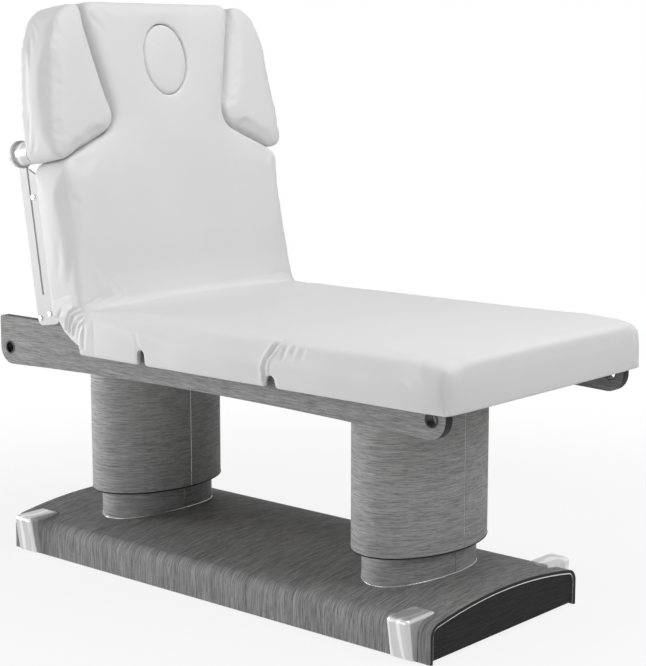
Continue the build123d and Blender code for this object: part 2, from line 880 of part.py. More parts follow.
# The backrest is drawn in its own axes: the first runs up the back from the fold, the second
# points to the right side, the third out of the front. It stands at its angle to the seat.
lean = radians(back_angle)
up = (-cos(lean), 0, sin(lean))
out = (sin(lean), 0, cos(lean))
back_plane = Plane(origin=(back_pivot_x, 0, pivot_z), x_dir=up, z_dir=out)
back_side_plane = Plane(origin=(back_pivot_x, 0, pivot_z), x_dir=up, z_dir=(0, 1, 0))
front = pivot_depth
board_front = front - foam_height
board_rear = board_front - board_thickness
apron_rear = front - apron_height
frame_rear = board_rear - hinge_beam_height
face_hole_height = back_length - face_hole_drop


def mirrored(points):
    return points + [(a, -w) for a, w in reversed(points)]


shoulder_line = ((shoulder_corner_height, shoulder_width), (neck_corner_height, neck_corner_width))
neck_line = ((neck_corner_height, neck_corner_width), (back_length, crown_half_width))


def back_outline(plane, inset, bottom):
    """Front outline of the backrest: wide below, drawn in at the neck, wider again at the head."""
    half_outline = [
        (bottom - inset, shoulder_width),
        (shoulder_corner_height, shoulder_width),
        (neck_corner_height, neck_corner_width),
        (back_length, crown_half_width),
    ]
    with BuildSketch(plane) as outline:
        with BuildLine():
            Polyline(*mirrored(half_outline), close=True)
        make_face()
        fillet(outline.vertices().group_by(Axis.X)[-1], head_corner_radius)
        fillet(outline.vertices().group_by(Axis.X)[2], neck_radius)
        fillet(outline.vertices().group_by(Axis.X)[1], shoulder_radius)
        if inset:
            offset(amount=-inset)
    return outline.sketch


def face_hole(plane, inset):
    """The oval face opening, made smaller all round by an inset."""
    with BuildSketch(plane) as oval:
        with Locations((face_hole_height, 0)):
            Ellipse(face_hole_half_height - inset, face_hole_half_width - inset)
    return oval.sketch


def back_pockets():
    """Room for the hinge ears in the backrest's board and cushion."""
    for side in sides.values():
        low_w = min(side * pocket_inner_y, side * pocket_outer_y)
        high_w = max(side * pocket_inner_y, side * pocket_outer_y)
        block(
            (-pocket_reach, low_w, board_rear - overrun),
            (pocket_reach, high_w, pocket_reach),
            back_plane,
            Mode.SUBTRACT,
        )


with BuildPart() as back_cushion:
    extrude(back_outline(back_plane.offset(apron_rear), 0, fold_gap), amount=apron_height)
    front_edges = back_cushion.edges().filter_by(
        lambda e: abs(back_plane.to_local_coords(e.center()).Z - front) < seam_gap
        and back_plane.to_local_coords(e.center()).X > overrun
    )
    fillet(front_edges, cushion_edge_radius)
    hollow = back_outline(back_plane.offset(apron_rear - overrun), apron_thickness, -overrun)
    extrude(hollow, amount=board_front - apron_rear + overrun, mode=Mode.SUBTRACT)
    extrude(
        face_hole(back_plane.offset(board_front - overrun), 0),
        amount=foam_height + 2 * overrun,
        mode=Mode.SUBTRACT,
    )
    with BuildSketch(back_side_plane) as wedge:
        with BuildLine():
            Polyline(
                (-overrun, 0),
                (-overrun, front + overrun),
                (fold_gap + (front + overrun) * back_mitre, front + overrun),
                (fold_gap, 0),
                close=True,
            )
        make_face()
    extrude(wedge.sketch, amount=table_half_width + overrun, both=True, mode=Mode.SUBTRACT)
    back_pockets()
save(back_cushion, "back_cushion")

side_plate_inner = side_plate_outer - side_plate_thickness
board_edge_inset = shoulder_width - side_plate_inner
with BuildPart() as back_board:
    extrude(
        back_outline(back_plane.offset(board_rear), board_edge_inset, fold_gap),
        amount=board_thickness,
    )
    extrude(
        face_hole(back_plane.offset(board_rear - overrun), plug_board_inset),
        amount=board_thickness + 2 * overrun,
        mode=Mode.SUBTRACT,
    )
    back_pockets()
save(back_board, "back_board")

# Oval plug of the face opening: foam in front, a smaller core that sits in the board
with BuildPart() as face_plug:
    extrude(
        face_hole(back_plane.offset(board_front + skin_gap), plug_gap),
        amount=foam_height - skin_gap,
    )
    plug_edges = face_plug.edges().filter_by(
        lambda e: abs(back_plane.to_local_coords(e.center()).Z - front) < seam_gap
    )
    fillet(plug_edges, plug_edge_radius)
    extrude(
        face_hole(back_plane.offset(board_rear), plug_board_inset + plug_gap),
        amount=board_thickness + skin_gap,
    )
save(face_plug, "face_plug")


def moving_frame(plane, spine_end, side_z, lever_at, lever_y):
    """Hinge beam with its ears, a spine under the board and the actuator's lever."""
    side_plane = Plane(origin=plane.origin, x_dir=plane.x_dir, z_dir=side_z)
    with BuildPart() as piece:
        block(
            (fold_gap, -moving_ear_inner_y, frame_rear),
            (hinge_beam_width, moving_ear_inner_y, board_rear),
            plane,
        )
        block(
            (hinge_beam_width, -spine_width / 2, frame_rear),
            (spine_end, spine_width / 2, board_rear),
            plane,
        )
        for side in sides.values():
            start = min(side * moving_ear_inner_y, side * moving_ear_outer_y)
            ear_plane = side_plane.offset(start)
            with BuildSketch(ear_plane) as ear:
                with BuildLine():
                    Polyline(
                        (0, frame_rear),
                        (ear_foot_length, frame_rear),
                        (ear_foot_length, board_rear),
                        (ear_radius, board_rear),
                        (ear_radius, 0),
                        (0, 0),
                        close=True,
                    )
                make_face()
                Circle(ear_radius)
                Circle(pin_radius + pin_gap, mode=Mode.SUBTRACT)
            extrude(ear.sketch, amount=ear_thickness)
        reach, drop = lever_at
        for lower in (-lever_half_gap - lever_thickness, lever_half_gap):
            with BuildSketch(side_plane.offset(lever_y + lower)) as lever:
                with Locations((reach, drop)):
                    Circle(clevis_radius)
                with Locations((hinge_beam_width / 2, frame_rear - clevis_radius / 2)):
                    Rectangle(hinge_beam_width - 2 * fold_gap, clevis_radius)
                make_hull()
            extrude(lever.sketch, amount=lever_thickness)
        with BuildSketch(side_plane.offset(lever_y - lever_half_gap)) as lever_pin:
            with Locations((reach, drop)):
                Circle(clevis_pin_radius)
        extrude(lever_pin.sketch, amount=2 * lever_half_gap)
    return piece


back_frame = moving_frame(
    back_plane,
    face_hole_height - face_hole_half_height - back_spine_end_gap,
    (0, 1, 0),
    (-back_lever_reach, -back_lever_drop),
    -actuator_offset,
)
save(back_frame, "back_frame")

leg_plane = Plane(origin=(leg_pivot_x, 0, pivot_z), x_dir=(1, 0, 0), z_dir=(0, 0, 1))
leg_frame = moving_frame(
    leg_plane,
    leg_board_foot_x - leg_pivot_x - leg_spine_end_gap,
    (0, -1, 0),
    (leg_lever_reach, -leg_lever_drop),
    -actuator_offset,
)
save(leg_frame, "leg_frame")


# Side pads: their edges follow the backrest's slope and neck at a small gap
pad_bottom_line = moved(shoulder_line, -pad_gap)
pad_inner_line = moved(neck_line, -pad_gap)
pad_outer_line = ((0, pad_outer), (back_length, pad_outer))
pad_top = back_length - pad_top_drop
pad_waist_height = back_length - pad_waist_drop
pad_head_height = back_length - pad_head_drop
pad_top_line = ((pad_top, 0), (pad_top, pad_outer))
swivel_place = crossing(
    moved(pad_bottom_line, -pad_corner_radius),
    ((0, pad_outer - pad_corner_radius), (back_length, pad_outer - pad_corner_radius)),
)
pad_rear = front - pad_thickness
pad_inner_top = crossing(pad_inner_line, pad_top_line)
pad_inner_bottom = crossing(pad_bottom_line, pad_inner_line)
pad_outer_bottom = crossing(pad_bottom_line, pad_outer_line)
pad_head_inner = (pad_top, (pad_inner_top[1] + pad_head_width) / 2)


def pad_outline(plane, inset, side):
    """Outline of one side pad."""
    points = [
        pad_inner_bottom,
        pad_outer_bottom,
        (pad_side_height, pad_outer),
        (pad_waist_height, pad_waist_width),
        (pad_head_height, pad_head_width),
        pad_head_inner,
        pad_inner_top,
    ]
    with BuildSketch(plane) as outline:
        with BuildLine():
            Polyline(*[(a, -side * w) for a, w in points], close=True)
        make_face()
        rounded = [
            (pad_inner_bottom, neck_radius - pad_gap),
            (pad_outer_bottom, pad_corner_radius),
            ((pad_waist_height, pad_waist_width), pad_waist_radius),
            ((pad_head_height, pad_head_width), pad_head_radius),
            (pad_head_inner, pad_head_radius),
            (pad_inner_top, pad_top_radius),
        ]
        for (a, w), radius in rounded:
            corner = outline.vertices().sort_by_distance((a, -side * w, 0))[0]
            fillet(corner, radius)
        if inset:
            offset(amount=-inset)
    return outline.sketch


swivel_plate_front = front - swivel_plate_depth
swivel_plate_rear = swivel_plate_front - swivel_plate_thickness
swivel_a, swivel_w = swivel_place
side_plate_front_top = shoulder_corner_height - side_plate_drop
side_plate_middle = (side_plate_inner + side_plate_outer) / 2
side_plate_rear_top = swivel_a - swivel_cap_radius - pad_gap
side_plate_slot_to = side_plate_rear_top - side_plate_slot_end_gap
slot_middle = (side_plate_slot_from + side_plate_slot_to) / 2
slot_length = side_plate_slot_to - side_plate_slot_from
screw_places = [
    (clamp_screw_height, front - clamp_screw_depth),
    (lower_screw_height, front - lower_screw_depth),
    (upper_screw_height, front - upper_screw_depth),
]
for side_name, side in sides.items():
    facing = -side
    with BuildPart() as side_pad_cushion:
        extrude(
            pad_outline(back_plane.offset(pad_rear + pad_board_thickness), 0, side),
            amount=pad_thickness - pad_board_thickness,
        )
        pad_front_edges = side_pad_cushion.edges().filter_by(
            lambda e: abs(back_plane.to_local_coords(e.center()).Z - front) < seam_gap
        )
        fillet(pad_front_edges, pad_edge_radius)
    save(side_pad_cushion, f"side_pad_cushion_{side_name}")

    with BuildPart() as side_pad_board:
        extrude(
            pad_outline(back_plane.offset(pad_rear), pad_board_inset, side),
            amount=pad_board_thickness,
        )
    save(side_pad_board, f"side_pad_board_{side_name}")

    with BuildPart() as side_pad_swivel:
        with BuildSketch(back_plane.offset(swivel_plate_front + skin_gap)) as boss:
            with Locations((swivel_a, facing * swivel_w)):
                Circle(swivel_radius)
        extrude(boss.sketch, amount=pad_rear - swivel_plate_front - skin_gap)
        with BuildSketch(back_plane.offset(swivel_plate_rear - skin_gap)) as pin:
            with Locations((swivel_a, facing * swivel_w)):
                Circle(swivel_pin_radius)
        extrude(pin.sketch, amount=swivel_plate_thickness + 2 * skin_gap)
        with BuildSketch(back_plane.offset(swivel_plate_rear - skin_gap - swivel_cap_height)) as cap:
            with Locations((swivel_a, facing * swivel_w)):
                Circle(swivel_cap_radius)
        extrude(cap.sketch, amount=swivel_cap_height)
    save(side_pad_swivel, f"side_pad_swivel_{side_name}")

    # White side plate with its slot and the eye that carries the pad's swivel
    with BuildPart() as back_side_plate:
        rear = front - side_plate_depth
        inner = min(side * side_plate_inner, side * side_plate_outer)
        with BuildSketch(back_side_plane.offset(inner)) as plate:
            with BuildLine():
                Polyline(
                    (-side_plate_heel, rear),
                    (-side_plate_heel, apron_rear - side_plate_heel_gap),
                    (side_plate_toe, apron_rear + side_plate_toe),
                    (side_plate_toe, board_front),
                    (side_plate_front_top, board_front),
                    (side_plate_front_top, pad_rear - pad_gap),
                    (swivel_a - swivel_eye_radius, swivel_plate_front),
                    (side_plate_rear_top, swivel_plate_front),
                    (side_plate_rear_top, rear),
                    close=True,
                )
            make_face()
            for corner in ((-side_plate_heel, rear, 0), (-side_plate_heel, apron_rear, 0)):
                fillet(plate.vertices().sort_by_distance(corner)[0], side_plate_radius)
            with Locations((slot_middle, front - side_plate_slot_depth)):
                SlotOverall(slot_length, side_plate_slot_width, mode=Mode.SUBTRACT)
        extrude(plate.sketch, amount=side_plate_thickness)
        with BuildSketch(back_plane.offset(swivel_plate_rear)) as eye:
            with Locations((swivel_a, facing * swivel_w)):
                Circle(swivel_eye_radius)
            with Locations((swivel_a, facing * (side_plate_middle + swivel_w) / 2)):
                Rectangle(2 * swivel_radius, abs(swivel_w - side_plate_middle))
        extrude(eye.sketch, amount=swivel_plate_thickness)
        with BuildSketch(back_plane.offset(swivel_plate_rear - overrun)) as eye_hole:
            with Locations((swivel_a, facing * swivel_w)):
                Circle(swivel_pin_radius + pin_gap)
        extrude(eye_hole.sketch, amount=swivel_plate_thickness + 2 * overrun, mode=Mode.SUBTRACT)
    save(back_side_plate, f"back_side_plate_{side_name}")

screw_head_outer = side_plate_outer + screw_head_height
with BuildPart() as side_plate_screws:
    for side in sides.values():
        for a, b in screw_places:
            seat = back_side_plane.from_local_coords((a, b, side * side_plate_outer))
            head = back_side_plane.from_local_coords((a, b, side * screw_head_outer))
            rod(tuple(seat), tuple(head), screw_head_radius)
save(side_plate_screws, "side_plate_screws")


# Linear actuators: a tube with its motor at the seat's cross tube, and a rod to the lever
def on_line(start, end, distance):
    run = Vector(*end) - Vector(*start)
    return tuple(Vector(*start) + run.normalized() * distance)


back_pin = (
    back_pivot_x + up[0] * -back_lever_reach + out[0] * -back_lever_drop,
    -actuator_offset,
    pivot_z + up[2] * -back_lever_reach + out[2] * -back_lever_drop,
)
leg_pin = (leg_pivot_x + leg_lever_reach, actuator_offset, pivot_z - leg_lever_drop)
middle_cross_faces = (middle_cross_x - cross_tube_width / 2, middle_cross_x + cross_tube_width / 2)
back_clevis_x = middle_cross_faces[0] - back_actuator_reach
leg_clevis_x = middle_cross_faces[1] + leg_actuator_reach
back_clevis = (back_clevis_x, -actuator_offset, beam_bottom - back_clevis_drop)
leg_clevis = (leg_clevis_x, actuator_offset, beam_bottom - leg_clevis_drop)
tube_bore_start = clevis_radius + gear_gap + gear_housing_length + overrun


def side_disc(centre, half_width, radius, mode=Mode.ADD):
    """A disc on an axis across the table."""
    x, y, z = centre
    rod((x, y - half_width, z), (x, y + half_width, z), radius, mode)


def tube_length(clevis, pin, shown_share):
    """Length of an actuator's tube, up to where its rod comes out."""
    return (Vector(*pin) - Vector(*clevis)).length * (1 - shown_share)


def actuator_body(clevis, pin, shown_share, motor_length):
    """Eye, gear housing, tube with its bore, and the motor beside it towards the middle."""
    x, y, z = clevis
    towards_middle = -1 if y > 0 else 1
    shift = towards_middle * (actuator_tube_radius + actuator_motor_radius + seam_gap)
    run = Vector(*pin) - Vector(*clevis)
    tube_end = tube_length(clevis, pin, shown_share)
    axis_plane = Plane(origin=clevis, x_dir=run, z_dir=(0, 1, 0))
    with BuildPart() as piece:
        side_disc(clevis, clevis_half_gap - skin_gap, clevis_radius)
        tube_start = on_line(clevis, pin, clevis_radius / 2)
        rod(tube_start, on_line(clevis, pin, tube_end), actuator_tube_radius)
        low = min(-actuator_tube_radius, shift - actuator_motor_radius)
        high = max(actuator_tube_radius, shift + actuator_motor_radius)
        housing_start = clevis_radius + gear_gap
        housing_end = housing_start + gear_housing_length
        block(
            (housing_start, -gear_housing_height / 2, low),
            (housing_end, gear_housing_height / 2, high),
            axis_plane,
        )
        motor_from = Vector(*on_line(clevis, pin, housing_end))
        motor_to = Vector(*on_line(clevis, pin, housing_end + motor_length))
        sideways = Vector(0, shift, 0)
        rod(tuple(motor_from + sideways), tuple(motor_to + sideways), actuator_motor_radius)
        rod(
            on_line(clevis, pin, tube_bore_start),
            on_line(clevis, pin, tube_end + overrun),
            actuator_rod_radius + actuator_bore_gap,
            Mode.SUBTRACT,
        )
        side_disc(clevis, clevis_half_gap + overrun, clevis_pin_radius + pin_gap, Mode.SUBTRACT)
        block(
            (-clevis_radius - overrun, -gear_housing_height, -actuator_tube_radius - overrun),
            (clevis_radius, gear_housing_height, -clevis_half_gap + skin_gap),
            axis_plane,
            Mode.SUBTRACT,
        )
        block(
            (-clevis_radius - overrun, -gear_housing_height, clevis_half_gap - skin_gap),
            (clevis_radius, gear_housing_height, actuator_tube_radius + overrun),
            axis_plane,
            Mode.SUBTRACT,
        )
    return piece


def actuator_rod(clevis, pin, shown_share, setback_share, open_gap):
    """Round rod with an eye round the lever's pin; the eye leaves the pin room to swing."""
    span = (Vector(*pin) - Vector(*clevis)).length
    eye_hole = clevis_pin_radius + open_gap
    bore_length = tube_length(clevis, pin, shown_share) - tube_bore_start
    with BuildPart() as piece:
        rod(
            on_line(clevis, pin, tube_bore_start + bore_length * setback_share),
            on_line(clevis, pin, span - eye_hole - eye_wall / 2),
            actuator_rod_radius,
        )
        side_disc(pin, eye_half_width, eye_hole + eye_wall)
        side_disc(pin, eye_half_width + overrun, eye_hole, Mode.SUBTRACT)
    return piece


back_actuator_body = actuator_body(back_clevis, back_pin, back_rod_shown_share, back_motor_length)
save(back_actuator_body, "back_actuator_body")
back_actuator_rod = actuator_rod(
    back_clevis, back_pin, back_rod_shown_share, back_rod_setback_share, back_open_pivot_gap
)
save(back_actuator_rod, "back_actuator_rod")
leg_actuator_body = actuator_body(leg_clevis, leg_pin, leg_rod_shown_share, leg_motor_length)
save(leg_actuator_body, "leg_actuator_body")
leg_actuator_rod = actuator_rod(
    leg_clevis, leg_pin, leg_rod_shown_share, leg_rod_setback_share, leg_open_pivot_gap
)
save(leg_actuator_rod, "leg_actuator_rod")

with BuildPart() as actuator_clevises:
    for face, clevis in zip(middle_cross_faces, (back_clevis, leg_clevis)):
        x, y, z = clevis
        for side in sides.values():
            low_y = min(y + side * clevis_half_gap, y + side * (clevis_half_gap + clevis_thickness))
            high_y = low_y + clevis_thickness
            rod((x, low_y, z), (x, high_y, z), clevis_radius)
            block(
                (min(x, face), low_y, z - clevis_radius),
                (max(x, face), high_y, z + clevis_radius),
            )
        side_disc(clevis, clevis_half_gap, clevis_pin_radius)
save(actuator_clevises, "actuator_clevises")
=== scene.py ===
import json
import math
import time

import bmesh
import bpy
import numpy as np
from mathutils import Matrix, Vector
from mathutils.bvhtree import BVHTree


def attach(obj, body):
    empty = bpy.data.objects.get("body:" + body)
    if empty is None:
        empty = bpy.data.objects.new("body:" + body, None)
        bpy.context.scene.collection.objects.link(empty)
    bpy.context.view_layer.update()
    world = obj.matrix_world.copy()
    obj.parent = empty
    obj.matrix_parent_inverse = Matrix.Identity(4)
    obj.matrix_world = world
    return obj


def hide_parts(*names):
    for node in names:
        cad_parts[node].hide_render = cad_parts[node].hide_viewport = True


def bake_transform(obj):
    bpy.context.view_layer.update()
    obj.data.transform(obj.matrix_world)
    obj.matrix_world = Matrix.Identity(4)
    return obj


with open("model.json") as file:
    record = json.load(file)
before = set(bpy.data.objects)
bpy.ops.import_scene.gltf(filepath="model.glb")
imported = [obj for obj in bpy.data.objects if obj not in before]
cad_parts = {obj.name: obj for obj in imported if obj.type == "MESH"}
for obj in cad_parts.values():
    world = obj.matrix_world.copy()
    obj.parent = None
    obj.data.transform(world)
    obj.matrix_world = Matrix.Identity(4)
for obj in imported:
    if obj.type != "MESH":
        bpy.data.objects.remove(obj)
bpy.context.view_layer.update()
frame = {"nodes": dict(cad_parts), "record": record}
nodes = frame["nodes"]
started = time.time()

# The table's own places, in metres; the face opening's is its height up the back
table = {
    "backFold": (-0.387, 0.704),
    "legFold": (0.275, 0.704),
    "surface": 0.728,
    "hem": 0.605,
    "halfWidth": 0.400,
    "footEnd": 0.787,
    "lean": math.radians(81),
    "faceOpening": 0.650,
}
backUp = np.array([-math.cos(table["lean"]), 0, math.sin(table["lean"])])
backOut = np.array([math.sin(table["lean"]), 0, math.cos(table["lean"])])
backOrigin = np.array([table["backFold"][0], 0, table["backFold"][1]])


def report(stage):
    print(f"{stage}: {time.time() - started:.1f} s")


def toBack(points):
    # height up the back, width to the right side, distance out of the front
    rel = points - backOrigin
    return rel @ backUp, -rel[:, 1], rel @ backOut


def openingShare(a, w, halfSizes):
    # 1 on an oval round the middle of the face opening, less inside it and more outside
    return ((a - table["faceOpening"]) / halfSizes[0]) ** 2 + (w / halfSizes[1]) ** 2


# Shader nodes
def feed(tree, value, socket):
    # another node's output is linked, and a plain value is set on the socket
    if isinstance(value, bpy.types.NodeSocket):
        tree.links.new(value, socket)
    elif socket.type == "RGBA":
        socket.default_value = (*value, 1)
    else:
        socket.default_value = value


def node(tree, kind, at, **values):
    # each value goes to the node's setting of that name, or else to its input
    made = tree.nodes.new(kind)
    made.location = at
    for key, value in values.items():
        if hasattr(made, key):
            setattr(made, key, value)
        else:
            feed(tree, value, made.inputs[key])
    return made


def mathNode(tree, operation, at, *values):
    made = node(tree, "ShaderNodeMath", at, operation=operation)
    for value, socket in zip(values, made.inputs):
        feed(tree, value, socket)
    return made.outputs[0]


def scaledPlace(tree, place, scale, at):
    made = node(tree, "ShaderNodeVectorMath", at, operation="MULTIPLY")
    feed(tree, place, made.inputs[0])
    feed(tree, scale, made.inputs[1])
    return made.outputs[0]


def noise(tree, place, at, **values):
    return node(tree, "ShaderNodeTexNoise", at, Vector=place, **values).outputs[0]


def mixed(tree, factor, first, second, at, blend="MIX"):
    # a colour between two others, by a mask or a plain share
    made = node(tree, "ShaderNodeMix", at, data_type="RGBA", blend_type=blend, Factor=factor, A=first, B=second)
    return made.outputs["Result"]


def ranged(tree, value, at, given=(0.0, 1.0), wanted=(0.0, 1.0), shape="LINEAR"):
    # carries a value from the range given to the range wanted
    made = node(tree, "ShaderNodeMapRange", at, interpolation_type=shape, Value=value)
    for label, number in zip(("From Min", "From Max", "To Min", "To Max"), (*given, *wanted)):
        made.inputs[label].default_value = number
    return made.outputs[0]


def newGroup(name, inputs, outputs):
    group = bpy.data.node_groups.new(name, "ShaderNodeTree")
    for label, kind, value in inputs:
        socket = group.interface.new_socket(name=label, in_out="INPUT", socket_type=kind)
        if value is not None:
            socket.default_value = value
    for label in outputs:
        group.interface.new_socket(name=label, in_out="OUTPUT", socket_type="NodeSocketFloat")
    return group, node(group, "NodeGroupInput", (-900, 0)).outputs


def buildLeatherGrain():
    # small rounded cells with fine creases between them, and a slow change of tone
    group, given = newGroup(
        "leatherGrain",
        [("Place", "NodeSocketVector", None), ("Cells", "NodeSocketFloat", 620.0)],
        ["Height", "Tone", "Rub"],
    )
    place = given["Place"]
    cells = node(
        group, "ShaderNodeTexVoronoi", (-600, 200),
        feature="SMOOTH_F1", Smoothness=0.6, Vector=place, Scale=given["Cells"],
    )
    creases = noise(group, place, (-600, -50), Scale=240.0, Detail=4.0, Roughness=0.6)
    slow = noise(group, place, (-600, -300), Scale=5.0, Detail=3.0, Roughness=0.5)
    patches = noise(group, place, (-600, -550), Scale=26.0, Detail=5.0, Roughness=0.65)
    domes = mathNode(group, "MULTIPLY_ADD", (-300, 200), cells.outputs["Distance"], -0.8, 0.8)
    height = mathNode(group, "ADD", (-100, 150), domes, mathNode(group, "MULTIPLY", (-300, 0), creases, 0.5))
    node(group, "NodeGroupOutput", (700, 0), Height=height, Tone=slow, Rub=patches)
    return group


def buildVeneerGrain():
    # long fine streaks, with the place stretched along the grain
    group, given = newGroup(
        "veneerGrain",
        [("Place", "NodeSocketVector", None), ("Stretch", "NodeSocketVector", (6, 300, 300))],
        ["Streaks", "Pores", "Bands"],
    )
    place = scaledPlace(group, given["Place"], given["Stretch"], (-700, 200))
    streaks = noise(group, place, (-450, 250), Scale=1.0, Detail=5.0, Roughness=0.62, Distortion=0.15)
    finer = scaledPlace(group, place, (2.2, 2.6, 2.6), (-700, 0))
    pores = noise(group, finer, (-450, 0), Scale=1.0, Detail=3.0, Roughness=0.7)
    wider = scaledPlace(group, place, (0.12, 0.12, 0.12), (-700, -250))
    bands = noise(group, wider, (-450, -250), Scale=1.0, Detail=2.0, Roughness=0.5, Distortion=0.4)
    node(
        group, "NodeGroupOutput", (700, 0),
        Streaks=ranged(group, streaks, (-200, 250), given=(0.32, 0.68)),
        Pores=ranged(group, pores, (-200, 0), given=(0.52, 0.66)),
        Bands=bands,
    )
    return group


def buildSurfaceWear():
    # fine speckle, soft scuffs and a slow drift, for metal, plastic and rubber
    group, given = newGroup(
        "surfaceWear",
        [
            ("Place", "NodeSocketVector", None),
            ("Speckle", "NodeSocketFloat", 900.0),
            ("Brush", "NodeSocketVector", (1, 1, 1)),
        ],
        ["Speckle", "Scuffs", "Drift"],
    )
    brushed = scaledPlace(group, given["Place"], given["Brush"], (-700, 200))
    speckle = noise(group, brushed, (-450, 250), Scale=given["Speckle"], Detail=2.0, Roughness=0.5)
    scuffs = noise(group, given["Place"], (-450, 0), Scale=38.0, Detail=6.0, Roughness=0.7, Distortion=1.2)
    drift = noise(group, given["Place"], (-450, -250), Scale=4.0, Detail=2.0)
    worn = ranged(group, scuffs, (-200, 0), given=(0.56, 0.72))
    node(group, "NodeGroupOutput", (700, 0), Speckle=speckle, Scuffs=worn, Drift=drift)
    return group


leatherGrain = buildLeatherGrain()
veneerGrain = buildVeneerGrain()
surfaceWear = buildSurfaceWear()

# What materials of one kind share; depths of bump in metres
grainPlan = {
    "leatherDepth": 0.0006,
    "veneerDepth": 0.0005,
    "hardDepth": 0.0002,
    "bandTones": (0.45, 1.35),
    "poreShare": 0.7,
    # where along the polished metal's waves the painted reflections lie
    "paintedReflectionLines": (0.62, 0.95),
}


def grey(level):
    return (level, level, level)


def startMaterial(name, settings, restPlace=False):
    # a soft piece keeps its grain by the place that its points have at rest
    material = bpy.data.materials.new(name)
    material.use_nodes = True
    tree = material.node_tree
    shader = tree.nodes["Principled BSDF"]
    shader.inputs["Metallic"].default_value = settings.get("metallic", 0.0)
    shader.inputs["Specular IOR Level"].default_value = settings.get("specular", 0.5)
    material.diffuse_color = (*settings["color"], 1)
    if restPlace:
        place = node(tree, "ShaderNodeAttribute", (-1200, 0), attribute_name="restPlace").outputs["Vector"]
    else:
        place = node(tree, "ShaderNodeTexCoord", (-1200, 0)).outputs["Object"]
    return material, tree, shader, place


def placeGroup(tree, group, **values):
    return node(tree, "ShaderNodeGroup", (-900, 0), node_tree=group, **values).outputs


def finishMaterial(tree, shader, settings, tone, rough, height, depth):
    # the colour, the roughness by a mask, and the bump
    tree.links.new(tone, shader.inputs["Base Color"])
    roughness = ranged(tree, rough, (-500, -150), wanted=settings["roughness"])
    tree.links.new(roughness, shader.inputs["Roughness"])
    bump = node(tree, "ShaderNodeBump", (-200, -300), Strength=settings["bump"], Distance=depth, Height=height)
    tree.links.new(bump.outputs["Normal"], shader.inputs["Normal"])


def leatherMaterial(name, settings):
    material, tree, shader, place = startMaterial(name, settings, restPlace=True)
    grain = placeGroup(tree, leatherGrain, Place=place, Cells=settings["cells"])
    tone = mixed(tree, grain["Tone"], settings["shade"], settings["color"], (-500, 200))
    finishMaterial(tree, shader, settings, tone, grain["Rub"], grain["Height"], grainPlan["leatherDepth"])
    return material


def veneerMaterial(name, settings):
    material, tree, shader, place = startMaterial(name, settings)
    grain = placeGroup(tree, veneerGrain, Place=place, Stretch=settings["stretch"])
    tone = mixed(tree, grain["Streaks"], settings["dark"], settings["color"], (-600, 250))
    bandLow, bandHigh = grainPlan["bandTones"]
    bands = mixed(tree, grain["Bands"], grey(bandLow), grey(bandHigh), (-600, 50))
    tone = mixed(tree, settings["bandShare"], tone, bands, (-400, 250), blend="MULTIPLY")
    pores = mathNode(tree, "MULTIPLY", (-400, 50), grain["Pores"], grainPlan["poreShare"])
    tone = mixed(tree, pores, tone, settings["pore"], (-200, 250))
    height = mathNode(tree, "SUBTRACT", (-400, -350), grain["Streaks"], grain["Pores"])
    finishMaterial(tree, shader, settings, tone, grain["Streaks"], height, grainPlan["veneerDepth"])
    return material


def hardMaterial(name, settings):
    material, tree, shader, place = startMaterial(name, settings)
    brush = settings.get("brush", (1, 1, 1))
    wear = placeGroup(tree, surfaceWear, Place=place, Speckle=settings["speckle"], Brush=brush)
    tone = mixed(tree, wear["Drift"], settings["shade"], settings["color"], (-600, 250))
    scuffs = mathNode(tree, "MULTIPLY", (-500, 50), wear["Scuffs"], settings["wear"])
    tone = mixed(tree, scuffs, tone, settings["worn"], (-300, 250))
    finishMaterial(tree, shader, settings, tone, wear["Scuffs"], wear["Speckle"], grainPlan["hardDepth"])
    return material


def polishedMaterial(name, settings):
    # brushed bright metal with wavy streaks running down it, in the bump and as painted reflections of light in its
    # colour
    material, tree, shader, place = startMaterial(name, settings)
    wear = placeGroup(tree, surfaceWear, Place=place, Speckle=settings["speckle"], Brush=settings["brush"])
    waves = node(
        tree, "ShaderNodeTexWave", (-700, 300), wave_type="BANDS", bands_direction="X", wave_profile="SIN",
        Vector=scaledPlace(tree, place, settings["streakStretch"], (-900, 300)),
        Scale=settings["streaks"], Distortion=settings["waviness"], Detail=1.5,
    )
    waves.inputs["Detail Scale"].default_value = 1.2
    streaks = waves.outputs["Color"]
    # the wave's crests take a lighter colour: painted reflections of light streaking down the metal
    thin = ranged(tree, streaks, (-500, 300), given=grainPlan["paintedReflectionLines"], shape="SMOOTHSTEP")
    tone = mixed(tree, wear["Drift"], settings["shade"], settings["color"], (-500, 100))
    tone = mixed(tree, thin, tone, settings["paintedReflection"], (-250, 200))
    finishMaterial(tree, shader, settings, tone, wear["Scuffs"], streaks, settings["bumpDepth"])
    return material


